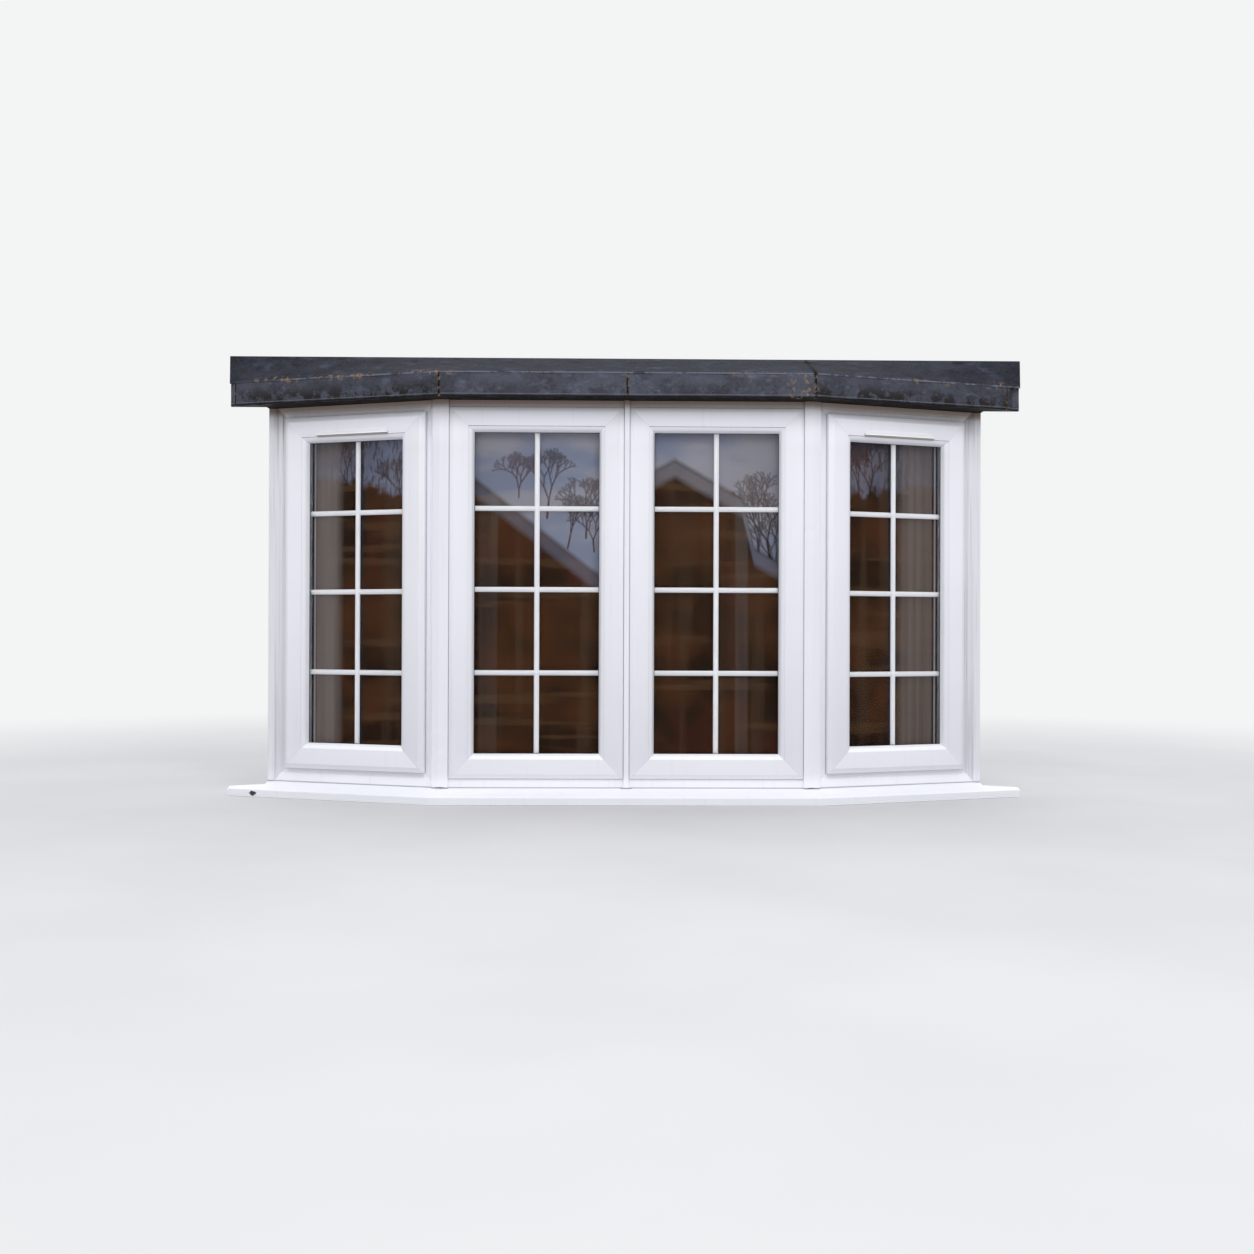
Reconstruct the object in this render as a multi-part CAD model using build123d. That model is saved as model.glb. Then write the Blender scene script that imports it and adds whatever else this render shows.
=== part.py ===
"""Shallow four-light bay window with a lead-clad canopy, in millimetres.

Seen from outside, X runs to the right, Y runs into the room and Z is up.
The origin is on the underside of the base board, midway between the jambs, in the plane
that the outer frame faces reach at the two jambs.
"""

import os
from math import atan2, cos, degrees, hypot, radians, sin, tan

from build123d import *

# Driving sizes of the opening and of the bay
OPENING_WIDTH = 2200.0          # clear width between the two reveals
BAY_PROJECTION = 190.0          # centre frame faces stand this far in front of the jambs
CENTRE_WIDTH = 1104.0           # corner to corner along the centre frame faces
FRAME_HEIGHT = 1155.0           # bottom to top of the outer frames
WALL_SETBACK = 38.0             # face of the wall in front of the jamb plane
ROOM_EDGE = 66.0                # room edge of the boards behind the jamb plane

# Outer frames
FRAME_DEPTH = 60.0              # front to back
JAMB_FACE = 42.0                # side frame, face between the jamb piece and its sash
POST_FACE = 29.5                # side frame, face between the sash and the bay post
RAIL_FACE = 43.0                # side frame, face over and under its sash
STRIP_WIDTH = 17.0              # inner strip of a side frame round its sash
STRIP_DEPTH = 3.0               # how far that strip is set back
CENTRE_FACE_POST = 14.5         # centre frame, face beside the bay post
CENTRE_FACE_BOTTOM = 28.5       # face under a centre light
CENTRE_FACE_TOP = 31.0          # face over a centre light
COUPLER_GAP = 4.0               # between the two centre frames
COUPLER_FACE = 9.5              # centre of the coupler to the edge of a centre sash
STOP_WIDTH = 10.0               # lip on the room side that the sash closes on
STOP_THICKNESS = 18.0

# Welded sashes: a bold profile for the opening lights, a flat one for the fixed lights
SASH_PROUD = 17.5               # face of an opening sash in front of the frame face
SASH_BORDER = 78.0              # outer edge to the edge of the glass
SASH_CHAMFER = 15.0             # sloping outer edge, across
SASH_CHAMFER_FALL = 8.5         # and how far it falls back
FIXED_PROUD = 8.0
FIXED_BORDER = 72.0
FIXED_CHAMFER = 12.0
FIXED_CHAMFER_FALL = 4.0
SASH_OVERLAP = 8.5              # part of a sash that lies on the frame face
SASH_CLEARANCE = 1.5            # between the sash body and the frame
SHADOW_WIDTH = 3.0              # undercut behind the outer edge
SHADOW_DEPTH = 2.0
BEAD_SLOPE_WIDTH = 16.5         # sloping inner edge beside the glass
BEAD_SLOPE_DEPTH = 20.0
LIP_THICKNESS = 2.0             # square edge behind that slope
SASH_BACK = 56.0                # room face of a sash behind the frame face
ARRIS = 1.5                     # rounding of the main edges of a sash
LIP_ARRIS = 0.6                 # rounding of the edge beside the glass

# Sealed units, gaskets and room-side beads
GASKET = 2.0
GASKET_SHOWS = 1.5              # past the lip, over the glass
PANE = 4.0
CAVITY = 16.0
EDGE_COVER = 13.0               # glass hidden behind the lip
SPACER_WIDTH = 10.0
REBATE_CLEARANCE = 1.0          # between the edge of a unit and the sash
BEAD_NOSE = 4.0                 # square edge of a room-side bead
BEAD_TOP = 4.0                  # width of its flat crest

# Bay posts, coupler and jamb pieces
POST_TO_SIDE = 16.0             # corner to the side frame, along the side face
POST_TO_CENTRE = 14.0           # corner to the centre frame
POST_CLEARANCE = 0.3
COVER_SIDE_LAP = 6.0            # cover past the post, over the side frame
COVER_GAP = 1.5                 # between the cover and the centre sash
COVER_PROUD = 7.0
COVER_ROUND = 2.5
COUPLER_COVER_WIDTH = 15.5
COUPLER_COVER_PROUD = 8.0
COVER_FOOT_WIDTH = 34.0         # widened foot of a cover on the sill
COVER_FOOT_HEIGHT = 10.0
JAMB_WIDTH = 20.0               # jamb piece between the reveal and a side frame

# Sill
SILL_REACH = 96.0               # nose in front of the frame faces
SILL_FALL = 16.0                # drop of the top from the frames to the nose
NOSE_HEIGHT = 23.0
NOSE_THICKNESS = 9.0
NOSE_ROUND = 3.0
NOSE_LOWER_ROUND = 1.5
SILL_THICKNESS = 30.0
SILL_HORN = 107.0               # sill past the opening at each end
DRIP_WIDTH = 5.0
DRIP_DEPTH = 3.0
END_CAP = 4.0
END_CAP_BEVEL = 10.0
END_CAP_RISE = 1.0              # cap above the sill where the bevel starts
BASE_BOARD = 9.0
BASE_SET_BACK = 18.0            # front of the base board behind the nose

# Canopy
HEAD_BOARD = 12.0
FASCIA_REACH = 72.5             # fascia in front of the centre frame faces
FASCIA_CORNER_SHIFT = 4.5       # fascia corner, towards the middle from the frame corner
FASCIA_DROP = 10.0              # soffit and fascia hang below the frame tops
FASCIA_HEIGHT = 73.5
FASCIA_THICKNESS = 20.0
FASCIA_JOINT = 1.0
SOFFIT = 9.0
CANOPY_HORN = 106.0             # canopy past the opening at each end
CANOPY_END_REACH = 22.0         # line of the fascia in front of the wall at the ends
CANOPY_RISE = 82.0              # fascia top up to the line on the wall
LEFT_RETURN = 17.0              # angled end piece, seen from the front
LEFT_RETURN_FLAT = 4.0          # its last part, level with the wall
RIGHT_RETURN = 43.0
RIGHT_RETURN_FLAT = 20.0
RETURN_EDGE = 12.0              # thickness of that last part
LEAD = 3.0
LEAD_CLEARANCE = 0.3            # between the lead and the front of the fascia
LEAD_DRIP = 6.0                 # lead dressed down over its top edge
LEAD_END_LAP = 6.0              # lead past the end pieces

# Vent hoods and handles
HOOD_LENGTH = 242.0
HOOD_HEIGHT = 17.0
HOOD_PROUD = 10.0
HOOD_LIP = 1.5                  # square front edge of the hood
HOOD_HOLLOW = ((0.62, 0.26), (0.26, 0.58))  # points of its top, shares of proud and height
HOOD_LEAN = 10.0                # its ends lean in by this much at the top
HOOD_ABOVE_GLASS = 19.0
HANDLE_PLATE_WIDTH = 26.0
HANDLE_PLATE_HEIGHT = 72.0
HANDLE_PLATE_THICKNESS = 9.0
HANDLE_NECK_RADIUS = 8.0
HANDLE_REACH = 36.0             # room face of the sash to the middle of the lever
HANDLE_LENGTH = 118.0
HANDLE_ROOT = (19.0, 14.0)      # lever section at the neck
HANDLE_TIP = (13.0, 9.0)        # and at its free end
HANDLE_ROUND = 3.5

# Worked-out places
JAMB_X = OPENING_WIDTH / 2
CORNER_X = CENTRE_WIDTH / 2
SIDE_LENGTH = hypot(JAMB_X - CORNER_X, BAY_PROJECTION)
SIDE_ANGLE = degrees(atan2(BAY_PROJECTION, JAMB_X - CORNER_X))
SILL_TOP = BASE_BOARD + SILL_THICKNESS
FRAME_TOP = SILL_TOP + FRAME_HEIGHT
SOFFIT_Z = FRAME_TOP - FASCIA_DROP
FASCIA_TOP = SOFFIT_Z + FASCIA_HEIGHT
WALL_LINE_Z = FASCIA_TOP + CANOPY_RISE
SILL_END_X = JAMB_X + SILL_HORN
CANOPY_END_X = JAMB_X + CANOPY_HORN
STOP_FRONT = FRAME_DEPTH - STOP_THICKNESS

# The side light runs from the jamb piece to the bay post, the centre light to the coupler
SIDE_FRAME_WIDTH = SIDE_LENGTH - POST_TO_SIDE - JAMB_WIDTH
SIDE_SASH_WIDTH = SIDE_FRAME_WIDTH - JAMB_FACE - POST_FACE
SIDE_SASH_HEIGHT = FRAME_HEIGHT - 2 * RAIL_FACE
CENTRE_FRAME_WIDTH = CORNER_X - POST_TO_CENTRE - COUPLER_GAP / 2
CENTRE_FACE_COUPLER = COUPLER_FACE - COUPLER_GAP / 2
CENTRE_SASH_WIDTH = CENTRE_FRAME_WIDTH - CENTRE_FACE_COUPLER - CENTRE_FACE_POST
CENTRE_SASH_HEIGHT = FRAME_HEIGHT - CENTRE_FACE_BOTTOM - CENTRE_FACE_TOP

LOW_CORNER = (Align.MIN, Align.MIN, Align.MIN)


def save(node, shapes):
    """Write one node, made of one or more solids."""
    solids = [solid for shape in shapes for solid in shape.solids()]
    body = solids[0] if len(solids) == 1 else Compound(children=solids)
    export_step(body, os.path.join("parts", node + ".step"))


def on_side(shape):
    """Carry a shape drawn along +X, with its face on y = 0, to the left side of the bay."""
    return Location((-JAMB_X, 0, SILL_TOP), (0, 0, -SIDE_ANGLE)) * shape


def on_centre_left(shape):
    """Carry a shape drawn along +X to the left centre light, beside its bay post."""
    return Location((-CORNER_X + POST_TO_CENTRE, -BAY_PROJECTION, SILL_TOP)) * shape


def mirrored(shape):
    """The right-hand twin of a left-hand piece."""
    return mirror(shape, about=Plane.YZ)


def side_point(along, inward):
    """Plan point of the left side: distance from the jamb, and depth behind its face."""
    a = radians(SIDE_ANGLE)
    return (-JAMB_X + along * cos(a) + inward * sin(a), -along * sin(a) + inward * cos(a))


def corner_point(inward):
    """Plan point on the mitre of the left corner, a given depth behind both faces."""
    half = radians(SIDE_ANGLE / 2)
    return (-CORNER_X + inward * tan(half), -BAY_PROJECTION + inward)


def line_at(inward, x):
    """Plan point of the left side line, a given depth behind the face, at one X."""
    a = radians(SIDE_ANGLE)
    return (x, -(x + JAMB_X) * tan(a) + inward / cos(a))


def outline(points):
    """Face inside a closed line of (x, y) points; a third value rounds that corner."""
    places = [point[:2] for point in points]
    radii = [point[2] if len(point) > 2 else 0 for point in points]
    if any(radii):
        return make_face(FilletPolyline(*places, radius=radii, close=True))
    return make_face(Polyline(*places, close=True))


def prism(points, bottom, top):
    """Upright solid on a plan outline."""
    return extrude(Pos(0, 0, bottom) * outline(points), amount=top - bottom, dir=(0, 0, 1))


def across(points, origin, length):
    """Solid of a (towards the street, up) section, extruded along +X."""
    section = Plane(origin=origin, x_dir=(0, -1, 0), z_dir=(-1, 0, 0)) * outline(points)
    return extrude(section, amount=length, dir=(1, 0, 0))


def mitred_ring(width, height, profile):
    """A welded frame: one profile of (in from the edge, depth) swept round a rectangle."""
    half = width / 2
    start = (half, 0, 0)
    path = Polyline(start, (width, 0, 0), (width, 0, height), (0, 0, height), (0, 0, 0), start)
    section_plane = Plane(origin=start, x_dir=(0, 0, 1), z_dir=(-1, 0, 0))
    return sweep(section_plane * outline(profile), path=path, transition=Transition.RIGHT)


def outer_frame(width, left, right, bottom, top):
    """Outer frame with its own face on each side, a deep wall and a room-side stop."""
    clear_width = width - left - right - 2 * SASH_OVERLAP
    clear_height = FRAME_HEIGHT - bottom - top - 2 * SASH_OVERLAP
    x = left + SASH_OVERLAP
    z = bottom + SASH_OVERLAP
    body = Box(width, FRAME_DEPTH, FRAME_HEIGHT, align=LOW_CORNER)
    pocket = Pos(x, 0, z) * Box(clear_width, STOP_FRONT, clear_height, align=LOW_CORNER)
    through = Pos(x + STOP_WIDTH, 0, z + STOP_WIDTH) * Box(
        clear_width - 2 * STOP_WIDTH, FRAME_DEPTH, clear_height - 2 * STOP_WIDTH,
        align=LOW_CORNER)
    return body - pocket - through


def side_frame():
    """Outer frame of a side light, whose inner strip is set back round the sash."""
    frame = outer_frame(SIDE_FRAME_WIDTH, JAMB_FACE, POST_FACE, RAIL_FACE, RAIL_FACE)
    width = SIDE_SASH_WIDTH + 2 * STRIP_WIDTH
    height = SIDE_SASH_HEIGHT + 2 * STRIP_WIDTH
    middle = (JAMB_FACE + SIDE_SASH_WIDTH / 2, 0, FRAME_HEIGHT / 2)
    mouth = Plane(origin=middle, x_dir=(1, 0, 0), z_dir=(0, 1, 0)) * Rectangle(width, height)
    strip = extrude(mouth, amount=STRIP_DEPTH, taper=45)
    return Pos(JAMB_WIDTH, 0, 0) * (frame - strip)


def centre_frame():
    """Outer frame of a centre light, with narrow stiles and deeper rails."""
    return outer_frame(CENTRE_FRAME_WIDTH, CENTRE_FACE_POST, CENTRE_FACE_COUPLER,
                       CENTRE_FACE_BOTTOM, CENTRE_FACE_TOP)


def sash(width, height, border, proud, chamfer, fall, seat):
    """Sash ring: overlapping flange, chamfer, flat, sloped bead edge and glazing rebate."""
    body = SASH_OVERLAP + SASH_CLEARANCE
    lip_back = BEAD_SLOPE_DEPTH - proud + LIP_THICKNESS
    rebate = border - EDGE_COVER - REBATE_CLEARANCE
    profile = [
        (SHADOW_WIDTH, seat),
        (SHADOW_WIDTH, seat - SHADOW_DEPTH),
        (0, seat - SHADOW_DEPTH),
        (0, fall - proud, ARRIS / 2),
        (chamfer, -proud, ARRIS),
        (border - BEAD_SLOPE_WIDTH, -proud, ARRIS),
        (border, BEAD_SLOPE_DEPTH - proud, LIP_ARRIS),
        (border, lip_back),
        (rebate, lip_back),
        (rebate, SASH_BACK),
        (body + STOP_WIDTH, SASH_BACK),
        (body + STOP_WIDTH, STOP_FRONT),
        (body, STOP_FRONT),
        (body, seat),
    ]
    return mitred_ring(width, height, profile)


def glazing(width, height, border, proud):
    """Gasket, two panes, spacer and room-side bead of one light, in sash coordinates."""
    edge = border - EDGE_COVER
    rebate = edge - REBATE_CLEARANCE
    front = BEAD_SLOPE_DEPTH - proud + LIP_THICKNESS + GASKET
    back = front + 2 * PANE + CAVITY
    unit = (width - 2 * edge, height - 2 * edge)
    outer_pane = Pos(edge, front, edge) * Box(unit[0], PANE, unit[1], align=LOW_CORNER)
    inner_pane = Pos(edge, back - PANE, edge) * Box(unit[0], PANE, unit[1], align=LOW_CORNER)
    spacer_profile = [(0, 0), (SPACER_WIDTH, 0), (SPACER_WIDTH, CAVITY), (0, CAVITY)]
    spacer = Pos(edge, front + PANE, edge) * mitred_ring(*unit, spacer_profile)
    seal_width = EDGE_COVER + GASKET_SHOWS
    seal_profile = [(0, 0), (seal_width, 0), (seal_width, GASKET), (0, GASKET)]
    seal = Pos(edge, front - GASKET, edge) * mitred_ring(*unit, seal_profile)
    depth = SASH_BACK - back
    reach = border - rebate
    bead_profile = [(0, 0), (reach, 0), (reach, BEAD_NOSE), (BEAD_TOP, depth), (0, depth)]
    bead = Pos(rebate, back, rebate) * mitred_ring(
        width - 2 * rebate, height - 2 * rebate, bead_profile)
    return {"panes": [outer_pane, inner_pane], "spacer": spacer, "seal": seal, "bead": bead}


def bay_post():
    """Tapered post that fills the angle between a side frame and a centre frame."""
    side_end = SIDE_LENGTH - POST_TO_SIDE + POST_CLEARANCE
    centre_x = -CORNER_X + POST_TO_CENTRE - POST_CLEARANCE
    plan = [
        side_point(side_end, 0),
        corner_point(0),
        (centre_x, -BAY_PROJECTION),
        (centre_x, -BAY_PROJECTION + FRAME_DEPTH),
        side_point(side_end, FRAME_DEPTH),
    ]
    return prism(plan, SILL_TOP, FRAME_TOP)


def post_cover():
    """Angled cover strip over the post and the frame edges, outside."""
    side_start = SIDE_LENGTH - POST_TO_SIDE - COVER_SIDE_LAP
    centre_end = -CORNER_X + POST_TO_CENTRE + CENTRE_FACE_POST - COVER_GAP
    plan = [
        side_point(side_start, 0),
        (*side_point(side_start, -COVER_PROUD), COVER_ROUND),
        (*corner_point(-COVER_PROUD), COVER_ROUND),
        (centre_end, -BAY_PROJECTION - COVER_PROUD, COVER_ROUND),
        (centre_end, -BAY_PROJECTION),
        corner_point(0),
    ]
    return prism(plan, SILL_TOP, SOFFIT_Z)


def coupler():
    """Flat strip that fills the joint between the two centre frames."""
    strip = COUPLER_GAP - 2 * POST_CLEARANCE
    return Pos(0, -BAY_PROJECTION, SILL_TOP) * Box(
        strip, FRAME_DEPTH, FRAME_HEIGHT, align=(Align.CENTER, Align.MIN, Align.MIN))


def coupler_cover():
    """Cover strip over the coupler, with a flared foot where it stands on the sill."""
    half = COUPLER_COVER_WIDTH / 2
    foot = COVER_FOOT_WIDTH / 2
    flare = foot - half
    height = SOFFIT_Z - SILL_TOP
    front = Plane(origin=(0, -BAY_PROJECTION, SILL_TOP), x_dir=(1, 0, 0), z_dir=(0, -1, 0))
    with BuildPart() as cover:
        with BuildSketch(front):
            with BuildLine():
                Line((half, height), (-half, height))
                Line((-half, height), (-half, COVER_FOOT_HEIGHT))
                Bezier((-half, COVER_FOOT_HEIGHT), (-half, COVER_FOOT_HEIGHT / 3),
                       (-half - flare / 3, 0), (-foot, 0))
                Line((-foot, 0), (foot, 0))
                Bezier((foot, 0), (half + flare / 3, 0),
                       (half, COVER_FOOT_HEIGHT / 3), (half, COVER_FOOT_HEIGHT))
                Line((half, COVER_FOOT_HEIGHT), (half, height))
            make_face()
        extrude(amount=COUPLER_COVER_PROUD)
    return cover.part


def jamb_piece():
    """Wedge between the reveal and a side frame, its face parallel to the wall."""
    front = side_point(JAMB_WIDTH, 0)
    back = side_point(JAMB_WIDTH, FRAME_DEPTH)
    plan = [(-JAMB_X, front[1]), front, back, (-JAMB_X, back[1])]
    return prism(plan, SILL_TOP, FRAME_TOP)


def sill_run(start, length):
    """The sill profile extruded along +X, its frame face on y = 0."""
    nose_top = SILL_THICKNESS - SILL_FALL
    nose_bottom = nose_top - NOSE_HEIGHT
    inner = SILL_REACH - NOSE_THICKNESS
    drip = inner - DRIP_WIDTH
    section = [
        (-FRAME_DEPTH, 0),
        (-FRAME_DEPTH, SILL_THICKNESS),
        (0, SILL_THICKNESS),
        (SILL_REACH, nose_top, NOSE_ROUND),
        (SILL_REACH, nose_bottom, NOSE_LOWER_ROUND),
        (inner, nose_bottom),
        (inner, DRIP_DEPTH),
        (drip, DRIP_DEPTH),
        (drip, 0),
    ]
    return across(section, (start, 0, 0), length)


def sill_left():
    """Side sill with its horn in front of the wall and a mitre at the bay corner."""
    past = 2 * SILL_END_X
    run = Location((-JAMB_X, 0, BASE_BOARD), (0, 0, -SIDE_ANGLE)) * sill_run(-past / 2, past)
    outside = corner_point(-past / 4)
    inside = corner_point(past / 4)
    region = [
        (-SILL_END_X + END_CAP, outside[1]),
        outside,
        inside,
        (-JAMB_X, inside[1]),
        (-JAMB_X, -WALL_SETBACK),
        (-SILL_END_X + END_CAP, -WALL_SETBACK),
    ]
    return run & prism(region, -past, past)


def sill_centre():
    """Centre sill between the two mitres."""
    past = 2 * SILL_END_X
    run = Pos(0, -BAY_PROJECTION, BASE_BOARD) * sill_run(-past / 2, past)
    outside = corner_point(-past / 4)
    inside = corner_point(past / 4)
    region = [outside, (-outside[0], outside[1]), (-inside[0], inside[1]), inside]
    return run & prism(region, -past, past)


def sill_cap():
    """Flat cap that closes the end of the left horn, its upper corner bevelled."""
    end = -SILL_END_X
    face = line_at(0, end)[1]
    nose = line_at(-SILL_REACH, end)[1]
    fall = SILL_FALL * (face + WALL_SETBACK) / (face - nose)
    nose_top = SILL_THICKNESS - SILL_FALL
    section = [
        (WALL_SETBACK, nose_top - NOSE_HEIGHT),
        (WALL_SETBACK, SILL_THICKNESS - fall),
        (-nose - END_CAP_BEVEL / 2, nose_top + END_CAP_RISE),
        (-nose, nose_top - END_CAP_BEVEL / 2),
        (-nose, nose_top - NOSE_HEIGHT),
    ]
    return across(section, (end, 0, BASE_BOARD), END_CAP)


def board_outline(reach, end_x, back_y):
    """Plan of a board whose front follows the bay, a given reach in front of the faces."""
    half = [(-end_x, back_y), line_at(-reach, -end_x), corner_point(-reach)]
    return half + [(-x, y) for x, y in reversed(half)]


def base_board():
    """Board under the sills, which rests on the wall and closes the overhang."""
    return prism(board_outline(SILL_REACH - BASE_SET_BACK, JAMB_X, ROOM_EDGE), 0, BASE_BOARD)


def head_board():
    """Board on top of the frames."""
    return prism(board_outline(0, JAMB_X, ROOM_EDGE), FRAME_TOP, FRAME_TOP + HEAD_BOARD)


def fascia_corner(inset):
    """Left corner of the fascia line, moved back by an inset from its face."""
    return (-CORNER_X + FASCIA_CORNER_SHIFT, -BAY_PROJECTION - FASCIA_REACH + inset)


def fascia_at(x, inset):
    """Point of the left side fascia at one X, moved back by an inset from its face."""
    corner = fascia_corner(inset)
    end_y = -WALL_SETBACK - CANOPY_END_REACH + inset
    share = (corner[0] - x) / (corner[0] + CANOPY_END_X)
    return (x, corner[1] + share * (end_y - corner[1]))


def fascia_side(return_width):
    """Board along one side of the canopy, mitred to the centre board."""
    end_x = -CANOPY_END_X + return_width
    corner = fascia_corner(0)
    back_corner = fascia_corner(FASCIA_THICKNESS)
    gap = FASCIA_JOINT / 2
    plan = [
        fascia_at(end_x, 0),
        (corner[0] - gap, corner[1]),
        (back_corner[0] - gap, back_corner[1]),
        fascia_at(end_x, FASCIA_THICKNESS),
    ]
    return prism(plan, SOFFIT_Z, FASCIA_TOP)


def fascia_centre():
    """Left half of the board along the front of the canopy."""
    left, front = fascia_corner(0)
    gap = FASCIA_JOINT / 2
    back = front + FASCIA_THICKNESS
    plan = [(left + gap, front), (-gap, front), (-gap, back), (left + gap, back)]
    return prism(plan, SOFFIT_Z, FASCIA_TOP)


def canopy_return(return_width, flat):
    """Angled end piece that turns the fascia back to the wall."""
    end = fascia_at(-CANOPY_END_X + return_width, 0)
    plan = [
        end,
        (-CANOPY_END_X + flat, -WALL_SETBACK - RETURN_EDGE),
        (-CANOPY_END_X, -WALL_SETBACK - RETURN_EDGE),
        (-CANOPY_END_X, -WALL_SETBACK),
        (end[0], -WALL_SETBACK),
    ]
    return prism(plan, SOFFIT_Z, FASCIA_TOP)


def soffit_side(return_width):
    """Plan points of the soffit on one side, from the front corner round to the frames."""
    end = fascia_at(-CANOPY_END_X + return_width, FASCIA_THICKNESS)
    jamb = side_point(JAMB_WIDTH, 0)
    return [
        fascia_corner(FASCIA_THICKNESS),
        end,
        (end[0], -WALL_SETBACK),
        (-JAMB_X, -WALL_SETBACK),
        (-JAMB_X, jamb[1]),
        jamb,
        corner_point(0),
    ]


def soffit_board():
    """Board that closes the canopy below, in front of the frames."""
    left = soffit_side(LEFT_RETURN)
    right = [(-x, y) for x, y in soffit_side(RIGHT_RETURN)]
    return prism(left[::-1] + right, SOFFIT_Z, SOFFIT_Z + SOFFIT)


def roof_section(x, points):
    """Upright section of the roof at one X, from (y, z) points."""
    plane = Plane(origin=(x, 0, 0), x_dir=(0, 1, 0), z_dir=(1, 0, 0))
    return plane * make_face(Polyline(*points, close=True))


def deck_section(x, front):
    """Section of the deck: a wall edge, a slope and a front edge behind the fascia."""
    bottom = FRAME_TOP + HEAD_BOARD
    wall = -WALL_SETBACK
    points = [
        (wall, bottom),
        (wall, WALL_LINE_Z - LEAD),
        (front, FASCIA_TOP - LEAD),
        (front, bottom),
    ]
    return roof_section(x, points)


def lead_section(x, front):
    """Section of the lead: sheet up the slope, dressed down over the fascia."""
    wall = -WALL_SETBACK
    edge = front - LEAD_CLEARANCE
    points = [
        (wall, WALL_LINE_Z - LEAD),
        (wall, WALL_LINE_Z),
        (edge - LEAD, FASCIA_TOP + LEAD),
        (edge - LEAD, FASCIA_TOP - LEAD_DRIP),
        (edge, FASCIA_TOP - LEAD_DRIP),
        (edge, FASCIA_TOP),
    ]
    return roof_section(x, points)


def canopy_deck():
    """Solid firrings and deck between the head board and the lead."""
    corner = fascia_corner(FASCIA_THICKNESS)
    end = fascia_at(-CANOPY_END_X + RIGHT_RETURN, FASCIA_THICKNESS)
    at_corner = deck_section(*corner)
    left = loft([deck_section(*end), at_corner], ruled=True)
    middle = extrude(at_corner, amount=-2 * corner[0], dir=(1, 0, 0))
    return left + middle + mirrored(left)


def lead_slope():
    """Lead over the left side of the canopy, past its end piece."""
    end = fascia_at(-CANOPY_END_X - LEAD_END_LAP, 0)
    return loft([lead_section(*end), lead_section(*fascia_corner(0))], ruled=True)


def lead_front():
    """Lead over the centre, up to the joint at the right corner."""
    corner = fascia_corner(0)
    return extrude(lead_section(*corner), amount=-2 * corner[0] - FASCIA_JOINT, dir=(1, 0, 0))


def vent_hood():
    """Hood over the vent in the top rail of an opening sash: hollow slope, leaning ends."""
    middle = JAMB_WIDTH + JAMB_FACE + SIDE_SASH_WIDTH / 2
    start = middle - HOOD_LENGTH / 2
    z = FRAME_HEIGHT - RAIL_FACE - SASH_BORDER + HOOD_ABOVE_GLASS
    hollow = [(out * HOOD_PROUD, up * HOOD_HEIGHT) for out, up in HOOD_HOLLOW]
    section = [(0, 0), (HOOD_PROUD, 0), (HOOD_PROUD, HOOD_LIP), *hollow, (0, HOOD_HEIGHT)]
    body = across(section, (start, -SASH_PROUD, z), HOOD_LENGTH)
    front = [
        (0, 0),
        (HOOD_LENGTH, 0),
        (HOOD_LENGTH - HOOD_LEAN, HOOD_HEIGHT),
        (HOOD_LEAN, HOOD_HEIGHT),
    ]
    face = Plane(origin=(start, -SASH_PROUD, z), x_dir=(1, 0, 0), z_dir=(0, -1, 0))
    return body & extrude(face * outline(front), amount=HOOD_PROUD)


def handle():
    """Room-side handle of an opening sash: plate, neck and tapered lever."""
    x = JAMB_WIDTH + JAMB_FACE + SIDE_SASH_WIDTH - SASH_BORDER / 2
    z = FRAME_HEIGHT / 2
    seat = Plane(origin=(x, SASH_BACK, z), x_dir=(1, 0, 0), z_dir=(0, 1, 0))
    plate_outline = RectangleRounded(HANDLE_PLATE_WIDTH, HANDLE_PLATE_HEIGHT, HANDLE_ROUND)
    plate = extrude(seat * plate_outline, amount=HANDLE_PLATE_THICKNESS)
    neck = extrude(seat * Circle(HANDLE_NECK_RADIUS), amount=HANDLE_REACH)
    top = Plane(origin=(x, SASH_BACK + HANDLE_REACH, z + HANDLE_NECK_RADIUS))
    root = top * RectangleRounded(*HANDLE_ROOT, HANDLE_ROUND)
    tip = Pos(0, 0, -HANDLE_LENGTH) * top * RectangleRounded(*HANDLE_TIP, HANDLE_ROUND)
    return plate + neck + loft([root, tip])


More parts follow.
